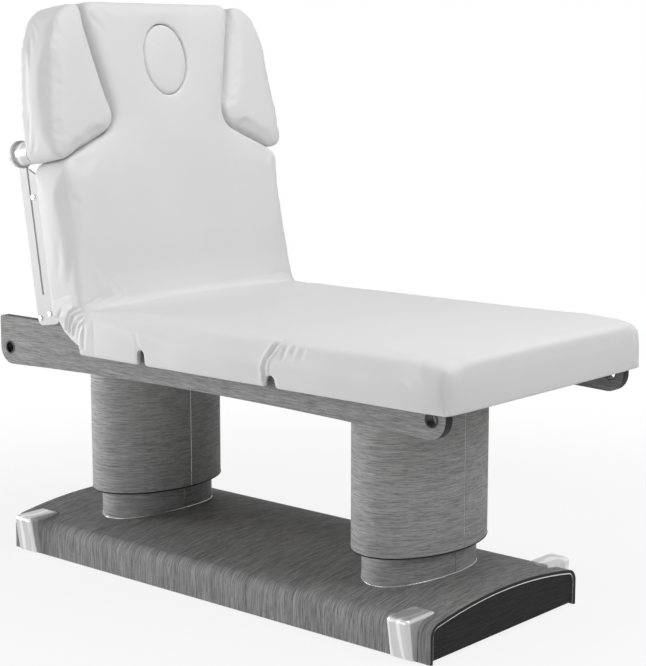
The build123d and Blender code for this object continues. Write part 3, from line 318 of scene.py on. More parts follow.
materials = {
    "cover_white": leatherMaterial("coverWhite", {
        "color": grey(0.80), "shade": grey(0.76), "cells": 620.0,
        "roughness": (0.48, 0.62), "bump": 0.35, "specular": 0.25,
    }),
    "railVeneer": veneerMaterial("railVeneer", {
        "color": grey(0.45), "dark": grey(0.19), "pore": grey(0.05), "bandShare": 0.45,
        "stretch": (15, 430, 430), "roughness": (0.62, 0.5), "bump": 0.4, "specular": 0.2,
    }),
    "sleeveVeneer": veneerMaterial("sleeveVeneer", {
        "color": grey(0.56), "dark": grey(0.28), "pore": grey(0.08), "bandShare": 0.35,
        "stretch": (18, 18, 430), "roughness": (0.62, 0.5), "bump": 0.4, "specular": 0.15,
    }),
    "baseVeneer": veneerMaterial("baseVeneer", {
        "color": grey(0.48), "dark": grey(0.17), "pore": grey(0.04), "bandShare": 0.4,
        "stretch": (430, 15, 15), "roughness": (0.68, 0.58), "bump": 0.4, "specular": 0.10,
    }),
    "panelVeneer": veneerMaterial("panelVeneer", {
        "color": grey(0.026), "dark": grey(0.009), "pore": grey(0.004), "bandShare": 0.4,
        "stretch": (430, 15, 430), "roughness": (0.6, 0.5), "bump": 0.4, "specular": 0.12,
    }),
    "plywood": veneerMaterial("plywood", {
        "color": (0.62, 0.46, 0.29), "dark": (0.47, 0.33, 0.19), "pore": (0.28, 0.18, 0.10), "bandShare": 0.35,
        "stretch": (4, 70, 70), "roughness": (0.72, 0.6), "bump": 0.4, "specular": 0.3,
    }),
    "edge_black": hardMaterial("edgeBlack", {
        "color": grey(0.010), "shade": grey(0.006), "worn": grey(0.05), "wear": 0.25,
        "speckle": 900.0, "roughness": (0.5, 0.6), "bump": 0.15, "specular": 0.2,
    }),
    "trim_light": hardMaterial("trimLight", {
        "color": (0.80, 0.80, 0.79), "shade": grey(0.70), "worn": grey(0.45), "wear": 0.2,
        "speckle": 700.0, "brush": (1, 0.04, 1), "roughness": (0.26, 0.42), "bump": 0.12, "metallic": 0.9,
    }),
    "polished_metal": polishedMaterial("polishedMetal", {
        # the lighter streak colour of the polished metal is a painted reflection
        "color": grey(0.72), "shade": grey(0.62), "paintedReflection": grey(0.93), "metallic": 0.5,
        "speckle": 500.0, "brush": (1, 1, 0.05), "roughness": (0.30, 0.42), "streaks": 9.0, "waviness": 7.0,
        "streakStretch": (1.0, 1.0, 0.30), "bump": 0.25, "bumpDepth": 0.002,
    }),
    "frame_white": hardMaterial("frameWhite", {
        "color": grey(0.75), "shade": grey(0.70), "worn": grey(0.42), "wear": 0.10,
        "speckle": 1400.0, "roughness": (0.42, 0.55), "bump": 0.25, "specular": 0.3,
    }),
    "bushing": hardMaterial("railBushing", {
        "color": (0.045, 0.045, 0.046), "shade": (0.03, 0.03, 0.031), "worn": grey(0.30), "wear": 0.35,
        "speckle": 900.0, "roughness": (0.32, 0.45), "bump": 0.15, "metallic": 0.6,
    }),
    "steel_bright": hardMaterial("steelBright", {
        "color": (0.62, 0.62, 0.63), "shade": (0.52, 0.52, 0.53), "worn": grey(0.30), "wear": 0.3,
        "speckle": 500.0, "brush": (1, 1, 0.06), "roughness": (0.24, 0.42), "bump": 0.15, "metallic": 1.0,
    }),
    "steel_dark": hardMaterial("steelDark", {
        "color": (0.075, 0.075, 0.078), "shade": (0.055, 0.055, 0.057), "worn": grey(0.25), "wear": 0.2,
        "speckle": 1200.0, "roughness": (0.5, 0.62), "bump": 0.25,
    }),
    "aluminium_raw": hardMaterial("aluminiumRaw", {
        "color": (0.60, 0.60, 0.61), "shade": (0.52, 0.52, 0.53), "worn": grey(0.40), "wear": 0.3,
        "speckle": 420.0, "brush": (1, 1, 0.05), "roughness": (0.3, 0.46), "bump": 0.15, "metallic": 1.0,
    }),
    "plastic_black": hardMaterial("plasticBlack", {
        "color": (0.03, 0.03, 0.031), "shade": (0.022, 0.022, 0.023), "worn": grey(0.10), "wear": 0.25,
        "speckle": 1500.0, "roughness": (0.46, 0.6), "bump": 0.3,
    }),
    "rubber_black": hardMaterial("rubberBlack", {
        "color": grey(0.028), "shade": grey(0.02), "worn": grey(0.12), "wear": 0.35,
        "speckle": 800.0, "roughness": (0.72, 0.85), "bump": 0.4,
    }),
}
# The slots and nodes whose material has another name than their slot
slotMaterials = {
    "veneer_grey": "railVeneer",
    "sleeve_grey": "sleeveVeneer",
}
nodeMaterials = {
    "base_cover": "baseVeneer",
    "end_panel_head": "panelVeneer",
    "end_panel_foot": "panelVeneer",
    "rail_grommets": "bushing",
}
for part in frame["record"]["subparts"]:
    slot = part["material_slot"]
    mesh = nodes[part["node"]].data
    mesh.materials.clear()
    mesh.materials.append(materials[nodeMaterials.get(part["node"]) or slotMaterials.get(slot, slot)])
    for face in mesh.polygons:
        face.material_index = 0
# The rails' narrow edges are banded in black
for railName in ("rail_right", "rail_left"):
    mesh = nodes[railName].data
    mesh.materials.append(materials["edge_black"])
    for face in mesh.polygons:
        face.material_index = 0 if abs(face.normal.y) > 0.8 else 1
report("materials")


# Mesh helpers
def readVectors(mesh, label):
    values = np.zeros(len(mesh.vertices) * 3)
    mesh.vertices.foreach_get(label, values)
    return values.reshape(-1, 3)


def readCoords(mesh):
    return readVectors(mesh, "co")


def readNormals(mesh):
    return readVectors(mesh, "normal")


def writeCoords(mesh, co):
    mesh.vertices.foreach_set("co", co.astype(np.float32).ravel())
    mesh.update()


def keepRestPlace(mesh):
    place = mesh.attributes.new("restPlace", "FLOAT_VECTOR", "POINT")
    place.data.foreach_set("vector", readCoords(mesh).astype(np.float32).ravel())


def applyModifier(obj, modifier):
    bpy.ops.object.select_all(action="DESELECT")
    bpy.context.view_layer.objects.active = obj
    obj.select_set(True)
    bpy.ops.object.modifier_apply(modifier=modifier.name)


def linked(name, data):
    obj = bpy.data.objects.new(name, data)
    bpy.context.scene.collection.objects.link(obj)
    return obj


def placed(name, mesh, material):
    mesh.materials.append(materials[material])
    return linked(name, mesh)


def shadedSmooth(mesh):
    for face in mesh.polygons:
        face.use_smooth = True


def meshFrom(name, made):
    mesh = bpy.data.meshes.new(name)
    made.to_mesh(mesh)
    made.free()
    return mesh


def joinedCopy(name, sources, fillers=(), setBack=0.0):
    made = bmesh.new()
    for source in sources:
        made.from_mesh(nodes[source].data)
    if setBack:
        # the same form once more, further to the backrest's rear
        before = len(made.verts)
        for source in sources:
            made.from_mesh(nodes[source].data)
        made.verts.ensure_lookup_table()
        for vert in made.verts[before:]:
            vert.co -= Vector(backOut * setBack)
    for low, high in fillers:
        corners = [made.verts.new([(low, high)[i >> k & 1][k] for k in range(3)]) for i in range(8)]
        for a, b, c, d in ((0, 2, 3, 1), (4, 5, 7, 6), (0, 1, 5, 4), (2, 6, 7, 3), (0, 4, 6, 2), (1, 3, 7, 5)):
            made.faces.new((corners[a], corners[b], corners[c], corners[d]))
    bmesh.ops.remove_doubles(made, verts=made.verts, dist=0.00001)
    return placed(name, meshFrom(name, made), "cover_white")


relaxShare = 0.5  # how far a point goes to its neighbours' middle in one pass


def smoothed(mesh, weights, times):
    # relaxes the points towards their neighbours, by weight, which rounds the foam's edges
    co = readCoords(mesh)
    ends = np.zeros(len(mesh.edges) * 2, np.int64)
    mesh.edges.foreach_get("vertices", ends)
    count = np.bincount(ends, minlength=len(co))[:, None]
    first, second = ends[0::2], ends[1::2]
    for _ in range(times):
        total = np.zeros_like(co)
        for k in range(3):
            total[:, k] = np.bincount(first, co[second, k], len(co)) + np.bincount(second, co[first, k], len(co))
        co += (total / np.maximum(count, 1) - co) * relaxShare * weights[:, None]
    writeCoords(mesh, co)


# The cover as a cloth, and for how many frames it is blown up
clothPlan = {"quality": 4, "mass": 0.4, "stretch": 12, "shear": 6, "bend": 2.0, "frames": 20}


def puffed(obj, plan, free, ease=None):
    # pressure from inside swells the cover where it is free, as far as the cap
    rest = readCoords(obj.data)
    held = obj.vertex_groups.new(name="held")
    held.add(np.flatnonzero(~free).tolist(), 1.0, "REPLACE")
    cloth = obj.modifiers.new("puff", "CLOTH")
    settings = cloth.settings
    settings.quality = clothPlan["quality"]
    settings.mass = clothPlan["mass"]
    settings.tension_stiffness = clothPlan["stretch"]
    settings.compression_stiffness = clothPlan["stretch"]
    settings.shear_stiffness = clothPlan["shear"]
    settings.bending_stiffness = clothPlan["bend"]
    settings.use_pressure = True
    settings.uniform_pressure_force = plan["pressure"]
    settings.effector_weights.gravity = 0
    settings.vertex_group_mass = "held"
    cloth.point_cache.frame_start = 1
    cloth.point_cache.frame_end = clothPlan["frames"]
    for number in range(1, clothPlan["frames"] + 1):
        bpy.context.scene.frame_set(number)
    graph = bpy.context.evaluated_depsgraph_get()
    swollen = readCoords(obj.evaluated_get(graph).to_mesh())
    obj.evaluated_get(graph).to_mesh_clear()
    obj.modifiers.remove(cloth)
    obj.vertex_groups.remove(held)
    bpy.context.scene.frame_set(1)
    move = swollen - rest
    length = np.linalg.norm(move, axis=1)[:, None]
    move *= plan["cap"] * np.tanh(length / plan["cap"]) / np.maximum(length, 1e-9)
    if ease is not None:
        move *= ease[:, None]
    writeCoords(obj.data, rest + move)


def remeshed(obj, size):
    modifier = obj.modifiers.new("remesh", "REMESH")
    modifier.mode = "VOXEL"
    modifier.voxel_size = size
    applyModifier(obj, modifier)


def refined(obj):
    modifier = obj.modifiers.new("finer", "SUBSURF")
    modifier.levels = 1
    modifier.render_levels = 1
    applyModifier(obj, modifier)


def prismAcross(name, outline, halfWidth):
    # a prism right across the table, from an outline in its side view
    count = len(outline)
    faces = [range(count), range(2 * count - 1, count - 1, -1)]
    faces += [(i, i + count, (i + 1) % count + count, (i + 1) % count) for i in range(count)]
    made = bmesh.new()
    points = [made.verts.new((x, side * halfWidth, z)) for side in (-1, 1) for x, z in outline]
    for face in faces:
        made.faces.new([points[i] for i in face])
    bmesh.ops.recalc_face_normals(made, faces=made.faces)
    return placed(name, meshFrom(name, made), "cover_white")


def cutAway(obj, cutter):
    modifier = obj.modifiers.new("cut", "BOOLEAN")
    modifier.operation = "DIFFERENCE"
    modifier.solver = "MANIFOLD"
    modifier.object = cutter
    applyModifier(obj, modifier)
    bpy.data.objects.remove(cutter)


def finishedSoft(obj):
    shadedSmooth(obj.data)
    obj.data.set_sharp_from_angle(angle=math.radians(48))
    keepRestPlace(obj.data)


def step(value, low, high):
    # 0 below low and 1 above high, with a soft rise between
    t = np.clip((value - low) / (high - low), 0, 1)
    return t * t * (3 - 2 * t)


def lineDistance(points, line):
    # distance of flat points from a bent line, and the share of the line's length reached
    best = np.full(len(points), 1e9)
    share = np.zeros(len(points))
    line = np.array(line, float)
    lengths = np.linalg.norm(np.diff(line, axis=0), axis=1)
    total = lengths.sum()
    passed = 0.0
    for start, end, length in zip(line[:-1], line[1:], lengths):
        run = end - start
        t = np.clip((points - start) @ run / length**2, 0, 1)
        distance = np.linalg.norm(points - start - t[:, None] * run, axis=1)
        nearer = distance < best
        best[nearer] = distance[nearer]
        share[nearer] = (passed + t[nearer] * length) / total
        passed += length
    return best, share


# The section of a crease, in crease widths: how its ends fade, and the roll beside it
creaseShape = {"fade": 0.7, "rollAt": 2.1, "rollWidth": 1.2, "rollHeight": 0.38}


def creased(u, v, creases):
    # how far each point sinks into the drawn creases; an open crease fades less at its ends
    points = np.stack([u, v], 1)
    depth = np.zeros(len(points))
    for crease in creases:
        distance, share = lineDistance(points, crease["line"])
        unfaded = crease.get("open", 0)
        fade = np.sin(np.pi * np.clip(share * (1 - unfaded) + unfaded / 2, 0, 1)) ** creaseShape["fade"]
        width = crease["width"]
        dip = np.exp(-((distance / width) ** 2))
        roll = np.exp(-(((distance - creaseShape["rollAt"] * width) / (creaseShape["rollWidth"] * width)) ** 2))
        depth += crease["depth"] * fade * (dip - creaseShape["rollHeight"] * roll)
    return depth


def uneven(u, v, waves):
    # broad, shallow unevenness of the foam under the cover
    (uRate, uStart), (vRate, vStart), (uFine, vFine) = waves
    return np.sin(u * uRate + uStart) * np.sin(v * vRate + vStart) + 0.5 * np.sin(u * uFine + v * vFine)


# Mattress: the seat and leg sections under one cover
mattressPlan = {
    "voxel": 0.0065,
    "pressure": 2.2,
    "cap": 0.006,
    "filler": {"half": 0.006, "inset": 0.001, "underSurface": 0.0035},  # closes the leg fold from within
    "edgeRounding": 14,
    "edgeLevel": (0.665, 0.690),
    "edgePastFold": (0.030, 0.060),
    "cornerRounding": 60,
    "cornerReach": (0.075, 0.045),
    "cornerOverHem": (0.001, 0.008),
    "shell": {"depth": 0.045, "sideLean": 0.25, "topLean": 0.2, "overHem": 0.012, "pastFold": 0.03},
    "puffFrom": (-0.36, -0.20),
    "footCalm": 0.8,
    "footCalmReach": (0.14, 0.05),
    "creaseEdge": (0.035, 0.012),
    "sideSlack": 0.0022,
    "slackHeight": 0.11,
    "slackEdge": (0.012, 0.004),
    "lie": 0.0007,
    "lieLevel": (0.715, 0.724),
    "lieWaves": ((9.0, 1.1), (8.0, 0.7), (21, 13)),
    "cutterReach": 0.03,
    "seatNotch": [
        (-0.1700, 0.590), (-0.1695, 0.625), (-0.1685, 0.6375), (-0.1650, 0.6430), (-0.1580, 0.6450), (-0.1520, 0.6425),
        (-0.1490, 0.6350), (-0.1458, 0.6170), (-0.1405, 0.6085), (-0.1330, 0.6045), (-0.1260, 0.590),
    ],
    "foldNotch": [
        (0.2590, 0.590), (0.2600, 0.622), (0.2625, 0.6310), (0.2680, 0.6345), (0.2760, 0.6355), (0.2830, 0.6335),
        (0.2865, 0.6270), (0.2890, 0.6160), (0.2945, 0.6080), (0.3010, 0.6045), (0.3080, 0.590),
    ],
    "creases": [
        {"width": 0.0042, "depth": 0.0072, "open": 0.5,
         "line": [(0.258, 0.622), (0.260, 0.650), (0.271, 0.680), (0.284, 0.700), (0.300, 0.720)]},
        {"width": 0.0050, "depth": 0.0022, "line": [(0.311, 0.672), (0.318, 0.697), (0.325, 0.719)]},
        {"width": 0.0050, "depth": 0.0018, "line": [(0.341, 0.688), (0.349, 0.716)]},
        {"width": 0.0060, "depth": 0.0014, "line": [(0.366, 0.680), (0.377, 0.714)]},
        {"width": 0.0060, "depth": 0.0012, "line": [(-0.160, 0.646), (-0.166, 0.668), (-0.172, 0.690)]},
        {"width": 0.0060, "depth": 0.0018, "line": [(-0.342, 0.720), (-0.352, 0.690), (-0.358, 0.655)]},
    ],
}


def makeMattress(plan):
    foldX, foldZ = table["legFold"]
    half, hem, footEnd, backFold = table["halfWidth"], table["hem"], table["footEnd"], table["backFold"][0]
    filler, shell = plan["filler"], plan["shell"]
    across = half - filler["inset"]
    low = (foldX - filler["half"], -across, foldZ - filler["half"])
    high = (foldX + filler["half"], across, table["surface"] - filler["underSurface"])
    obj = joinedCopy("mattress_cover", ["seat_cushion", "leg_cushion"], [(low, high)])
    remeshed(obj, plan["voxel"])
    mesh = obj.data
    co = readCoords(mesh)
    pastFold = step(co[:, 0], *[backFold + reach for reach in plan["edgePastFold"]])
    smoothed(mesh, step(co[:, 2], *plan["edgeLevel"]) * pastFold, plan["edgeRounding"])
    co = readCoords(mesh)
    nearEnd, nearSide = [[edge - reach for reach in plan["cornerReach"]] for edge in (footEnd, half)]
    corner = step(co[:, 0], *nearEnd) * step(np.abs(co[:, 1]), *nearSide)
    overHem = step(co[:, 2], *[hem + reach for reach in plan["cornerOverHem"]])
    smoothed(mesh, corner * overHem, plan["cornerRounding"])
    co = readCoords(mesh)
    normals = readNormals(mesh)
    # the outer shell is free as far as its edges, and the underside and the skirt's inside are held
    lean = shell["sideLean"]
    onSide = (np.abs(co[:, 1]) > half - shell["depth"]) & (normals[:, 1] * np.sign(co[:, 1]) > lean)
    onEnd = (co[:, 0] > footEnd - shell["depth"]) & (normals[:, 0] > lean)
    outside = onSide | onEnd | (normals[:, 2] > shell["topLean"])
    free = outside & (co[:, 2] > hem + shell["overHem"]) & (co[:, 0] > backFold + shell["pastFold"])
    calm = 1 - plan["footCalm"] * step(co[:, 0], *[footEnd - reach for reach in plan["footCalmReach"]])
    puffed(obj, plan, free, ease=step(co[:, 0], *plan["puffFrom"]) * calm)
    refined(obj)
    mesh = obj.data
    co = readCoords(mesh)
    normals = readNormals(mesh)
    out = np.abs(co[:, 1])
    depth = creased(co[:, 0], co[:, 2], plan["creases"]) * step(out, *[half - reach for reach in plan["creaseEdge"]])
    # the skirt hangs a little slack between the notches
    hang = np.sin(np.clip((co[:, 2] - hem) / plan["slackHeight"], 0, 1) * np.pi)
    wave = np.sin(co[:, 0] * 19 + 0.6) + 0.6 * np.sin(co[:, 0] * 43 + 1.9)
    outer = step(out, *[half - reach for reach in plan["slackEdge"]])
    depth -= plan["sideSlack"] * hang * (0.45 + 0.35 * wave) * outer
    lie = uneven(co[:, 0], co[:, 1], plan["lieWaves"])
    depth += plan["lie"] * lie * step(co[:, 2], *plan["lieLevel"])
    writeCoords(mesh, co - normals * depth[:, None])
    for outline in (plan["seatNotch"], plan["foldNotch"]):
        cutAway(obj, prismAcross("notchCutter", outline, half + plan["cutterReach"]))
    finishedSoft(obj)
    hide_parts("seat_cushion", "leg_cushion")
    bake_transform(obj)
    return obj


mattress = makeMattress(mattressPlan)
report("mattress")


# Backrest pad: places are height up the back, width to the side and distance out of the front
backPlan = {
    "voxel": 0.0065,
    "pressure": 2.6,
    "cap": 0.009,
    "edgeRounding": 16,
    "edgeFront": (-0.030, -0.012),
    "edgePastFold": (0.045, 0.075),
    "opening": (0.095, 0.0775),
    "openingEase": (1.25, 1.6),
    "shell": {"front": 0.006, "side": 0.386, "sideTop": 0.40, "pastFold": 0.035, "rear": -0.088, "opening": 1.12},
    "puffFrom": (0.04, 0.20),
    "frontLevel": (0.010, 0.018),
    "sideEdge": (0.014, 0.006),
    "sideTop": 0.39,
    "lie": 0.0008,
    "lieWaves": ((10, 0.4), (9, 1.2), (23, -15)),
    "frontCreases": [
        {"width": 0.012, "depth": 0.0016, "line": [(0.020, 0.330), (0.080, 0.352), (0.150, 0.372)]},
        {"width": 0.012, "depth": 0.0012, "line": [(0.060, 0.300), (0.120, 0.340), (0.190, 0.366)]},
        {"width": 0.009, "depth": 0.0014, "line": [(0.022, 0.250), (0.036, 0.310), (0.050, 0.370)]},
    ],
    "sideCreases": [
        {"width": 0.0055, "depth": 0.0026, "line": [(0.030, 0.018), (0.018, -0.010), (0.010, -0.040), (0.012, -0.070)]},
        {"width": 0.0055, "depth": 0.0018, "line": [(0.046, 0.004), (0.036, -0.024), (0.034, -0.056)]},
        {"width": 0.010, "depth": 0.0016, "line": [(0.075, -0.020), (0.120, -0.004), (0.170, 0.004)]},
        {"width": 0.010, "depth": 0.0012, "line": [(0.100, -0.060), (0.150, -0.040), (0.210, -0.032)]},
    ],
}


def makeBackPad(plan):
    shell = plan["shell"]
    obj = joinedCopy("backrest_pad", ["back_cushion"])
    remeshed(obj, plan["voxel"])
    a, w, b = toBack(readCoords(obj.data))
    away = step(openingShare(a, w, plan["opening"]), *plan["openingEase"])
    front = step(b, *plan["edgeFront"]) * step(a, *plan["edgePastFold"]) * away
    smoothed(obj.data, front, plan["edgeRounding"])
    a, w, b = toBack(readCoords(obj.data))
    outside = (b > shell["front"]) | ((np.abs(w) > shell["side"]) & (a < shell["sideTop"]))
    free = outside & (a > shell["pastFold"]) & (b > shell["rear"])
    free &= openingShare(a, w, plan["opening"]) > shell["opening"]
    puffed(obj, plan, free, ease=step(a, *plan["puffFrom"]))
    refined(obj)
    co = readCoords(obj.data)
    normals = readNormals(obj.data)
    a, w, b = toBack(co)
    onFront = step(b, *plan["frontLevel"])
    onSide = step(np.abs(w), *[table["halfWidth"] - reach for reach in plan["sideEdge"]]) * (a < plan["sideTop"])
    depth = creased(a, np.abs(w), plan["frontCreases"]) * onFront
    depth += creased(a, b, plan["sideCreases"]) * onSide
    depth += plan["lie"] * uneven(a, w, plan["lieWaves"]) * onFront
    writeCoords(obj.data, co - normals * depth[:, None])
    finishedSoft(obj)
    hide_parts("back_cushion")
    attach(obj, "backrest")
    return obj


backPad = makeBackPad(backPlan)
report("backrest pad")


# Side pads, with a rim behind the cushion that the board sinks into
sidePadPlan = {
    "voxel": 0.005,
    "rim": 0.0115,
    "pressure": 3.5,
    "cap": 0.007,
    "edgeRounding": 12,
    "edgeFront": (-0.045, -0.015),
    "heldRear": -0.070,
    "creaseFront": (-0.02, 0.01),
    "lie": 0.0006,
    "lieFront": (-0.03, 0.0),
    "creases": [
        {"width": 0.006, "depth": 0.0016, "line": [(0.452, 0.392), (0.462, 0.408), (0.480, 0.420)]},
        {"width": 0.007, "depth": 0.0012, "line": [(0.446, 0.372), (0.470, 0.398), (0.500, 0.414)]},
    ],
}


def makeSidePad(sideName, plan):
    source = f"side_pad_cushion_{sideName}"
    obj = joinedCopy(f"side_pad_{sideName}", [source], setBack=plan["rim"])
    remeshed(obj, plan["voxel"])
    _, _, b = toBack(readCoords(obj.data))
    smoothed(obj.data, step(b, *plan["edgeFront"]), plan["edgeRounding"])
    _, _, b = toBack(readCoords(obj.data))
    puffed(obj, plan, b > plan["heldRear"])
    refined(obj)
    co = readCoords(obj.data)
    normals = readNormals(obj.data)
    a, w, b = toBack(co)
    depth = creased(a, np.abs(w), plan["creases"]) * step(b, *plan["creaseFront"])
    lie = np.sin(a * 17 + 0.3) * np.sin(np.abs(w) * 21 + b * 12 + 1.2)
    depth += plan["lie"] * lie * step(b, *plan["lieFront"])
    writeCoords(obj.data, co - normals * depth[:, None])
    cutAway(obj, joinedCopy("boardCutter", [f"side_pad_board_{sideName}"]))
    finishedSoft(obj)
    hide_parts(source)
    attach(obj, f"side_pad_{sideName}")


for sideName in ("right", "left"):
    makeSidePad(sideName, sidePadPlan)
report("side pads")


# Face plug
plugPlan = {
    "voxel": 0.004,
    "pressure": 2.5,
    "cap": 0.004,
    "edgeRounding": 5,
    "edgeFront": (0.008, 0.016),
    "heldFront": 0.012,
    "oval": (0.092, 0.0745),
    "freeShare": 0.90,
}


def makeFacePlug(plan):
    obj = joinedCopy("face_plug_pad", ["face_plug"])
    remeshed(obj, plan["voxel"])
    _, _, b = toBack(readCoords(obj.data))
    smoothed(obj.data, step(b, *plan["edgeFront"]), plan["edgeRounding"])
    a, w, b = toBack(readCoords(obj.data))
    puffed(obj, plan, (b > plan["heldFront"]) & (openingShare(a, w, plan["oval"]) < plan["freeShare"]))
    refined(obj)
    finishedSoft(obj)
    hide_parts("face_plug")
    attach(obj, "face_plug")


makeFacePlug(plugPlan)
report("face plug")


# Cover across the back fold: a strip in the corner, from one rounded side edge to the other
foldPlan = {
    "along": [0.115, 0.098, 0.083, 0.070, 0.058, 0.048, 0.041],
    "lift": [-0.0012, -0.0002, 0.0003, 0.0005, 0.0006, 0.0007, 0.0007],
    "stations": 225,
    "filletPoints": 12,
    "rayReach": 0.09,
    "roundInset": 0.030,
    "roundLevel": -0.006,
    "edgeDegrees": (12, 24, 36, 48, 60, 72, 82, 90),
    "edgeDrops": (0.008, 0.016),
    "blendReach": 0.0010,
    "creases": [
        {"width": 0.0042, "depth": 0.0036, "open": 0.3,
         "line": [(0.020, 0.401), (0.027, 0.392), (0.034, 0.366), (0.047, 0.318), (0.060, 0.275)]},
        {"width": 0.0042, "depth": 0.0030, "open": 0.3,
         "line": [(0.012, 0.397), (0.019, 0.386), (0.029, 0.350), (0.042, 0.300), (0.050, 0.262)]},
    ],
}


def sheetMesh(name, grid, material):
    rows, columns = len(grid), len(grid[0])
    faces = [
        (r * columns + c, r * columns + c + 1, (r + 1) * columns + c + 1, (r + 1) * columns + c)
        for r in range(rows - 1)
        for c in range(columns - 1)
    ]
    mesh = bpy.data.meshes.new(name)
    mesh.from_pydata([tuple(p) for row in grid for p in row], [], faces)
    shadedSmooth(mesh)
    return placed(name, mesh, material)


def surfaceTree(obj):
    return BVHTree.FromObject(obj, bpy.context.evaluated_depsgraph_get())


def pointOn(tree, centre, outward, lift):
    # the surface met from outside, straight towards the centre
    hit = tree.ray_cast(Vector(centre + outward * foldPlan["rayReach"]), Vector(-outward))[0]
    reached = np.array(hit) if hit is not None else centre
    return reached + outward * lift


def foldProfile(trees, plan, side, angle, level, y):
    # one line across the fold: along the seat, round the corner and up the backrest
    sideways = np.array([0.0, side, 0.0])
    seat, back = [], []
    seatRun = (seat, trees[0], np.array([1.0, 0.0, 0.0]), np.array([0.0, 0.0, 1.0]))
    backRun = (back, trees[1], backUp, backOut)
    for distance, lift in zip(plan["along"], plan["lift"]):
        for line, tree, away, out in (seatRun, backRun):
            centre = backOrigin + away * distance + out * level + sideways * y
            line.append(pointOn(tree, centre, out * math.cos(angle) + sideways * math.sin(angle), lift))
    start, end = seat[-1], back[-1]
    rise = (end[2] - start[2]) / backUp[2]
    corner = end - backUp * rise
    corner[1] = (start[1] + end[1]) / 2
    turn = []
    for i in range(1, foldPlan["filletPoints"] + 1):
        t = i / (foldPlan["filletPoints"] + 1)
        turn.append(start * (1 - t) ** 2 + corner * 2 * t * (1 - t) + end * t * t)
    return seat + turn + back[::-1]


def blendAtFold(obj):
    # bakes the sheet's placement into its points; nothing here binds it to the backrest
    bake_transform(obj)


def makeFoldStrip(plan, trees):
    inner = table["halfWidth"] - plan["roundInset"]
    level = plan["roundLevel"]
    edge = [(math.radians(degrees), level) for degrees in plan["edgeDegrees"]]
    edge += [(math.pi / 2, level - drop) for drop in plan["edgeDrops"]]
    stations = [(-1, angle, depth, inner) for angle, depth in edge[::-1]]
    stations += [(1 if y >= 0 else -1, 0.0, level, abs(y)) for y in np.linspace(-inner, inner, plan["stations"])]
    stations += [(1, angle, depth, inner) for angle, depth in edge]
    obj = sheetMesh("fold_strip", [foldProfile(trees, plan, *station) for station in stations], "cover_white")
    co = readCoords(obj.data)
    normals = readNormals(obj.data)
    a, w, _ = toBack(co)
    sink = creased(a, np.abs(w), plan["creases"]) * np.sign(normals[:, 2].mean())
    writeCoords(obj.data, co - normals * sink[:, None])
    keepRestPlace(obj.data)
    blendAtFold(obj)


# A gusset on each side of the fold, gathered in short folds
gussetPlan = {
    "along": [0.062, 0.052, 0.044],
    "lift": [-0.0010, 0.0006, 0.0012],
    "angles": [42, 52, 62, 72, 82, 90],
    "rows": 32,
    "columns": 64,
    "rayFrom": 0.5,
    "leastInset": 0.010,
    "overPads": 0.0010,
    "bridging": 60,
    "swell": 0.0042,
    "tuck": 0.0016,
    "thickness": 0.0014,
    "freeEdge": [
        (-0.325, 0.606), (-0.340, 0.607), (-0.352, 0.609), (-0.392, 0.628), (-0.420, 0.642), (-0.446, 0.660),
        (-0.468, 0.684), (-0.486, 0.708), (-0.489, 0.722), (-0.491, 0.736),
    ],
    "blendReach": 0.048,
    "folds": [
        {"width": 0.0036, "depth": 0.0070, "open": 0.5,
         "line": [(-0.352, 0.733), (-0.37, 0.729), (-0.389, 0.724), (-0.41, 0.714), (-0.429, 0.692), (-0.437, 0.668)]},
        {"width": 0.0034, "depth": 0.0070, "open": 0.5,
         "line": [(-0.356, 0.722), (-0.372, 0.717), (-0.389, 0.711), (-0.405, 0.702), (-0.42, 0.681), (-0.425, 0.664)]},
        {"width": 0.0036, "depth": 0.0056, "open": 0.3,
         "line": [(-0.366, 0.704), (-0.381, 0.694), (-0.396, 0.684), (-0.404, 0.674), (-0.409, 0.656)]},
        {"width": 0.0046, "depth": 0.0034, "open": 0.3,
         "line": [(-0.366, 0.690), (-0.379, 0.672), (-0.388, 0.652), (-0.392, 0.636)]},
        {"width": 0.0056, "depth": 0.0030, "line": [(-0.440, 0.722), (-0.452, 0.708), (-0.464, 0.690)]},
        {"width": 0.0050, "depth": 0.0024, "open": 0.5,
         "line": [(-0.358, 0.690), (-0.361, 0.660), (-0.363, 0.628)]},
    ],
}


def alongLine(line, shares):
    line = np.array(line, float)
    lengths = np.linalg.norm(np.diff(line, axis=0), axis=1)
    reached = np.concatenate([[0], np.cumsum(lengths)]) / lengths.sum()
    return np.stack([np.interp(shares, reached, line[:, k]) for k in range(line.shape[1])], 1)


def padsReach(trees, x, z, sign, plan):
    # how far out the pads come at a place of the side view
    origin, inward = Vector((x, sign * plan["rayFrom"], z)), Vector((0.0, -sign, 0.0))
    hits = [tree.ray_cast(origin, inward)[0] for tree in trees]
    met = [abs(hit[1]) for hit in hits if hit is not None]
    return max(met + [table["halfWidth"] - plan["leastInset"]]) + plan["overPads"]


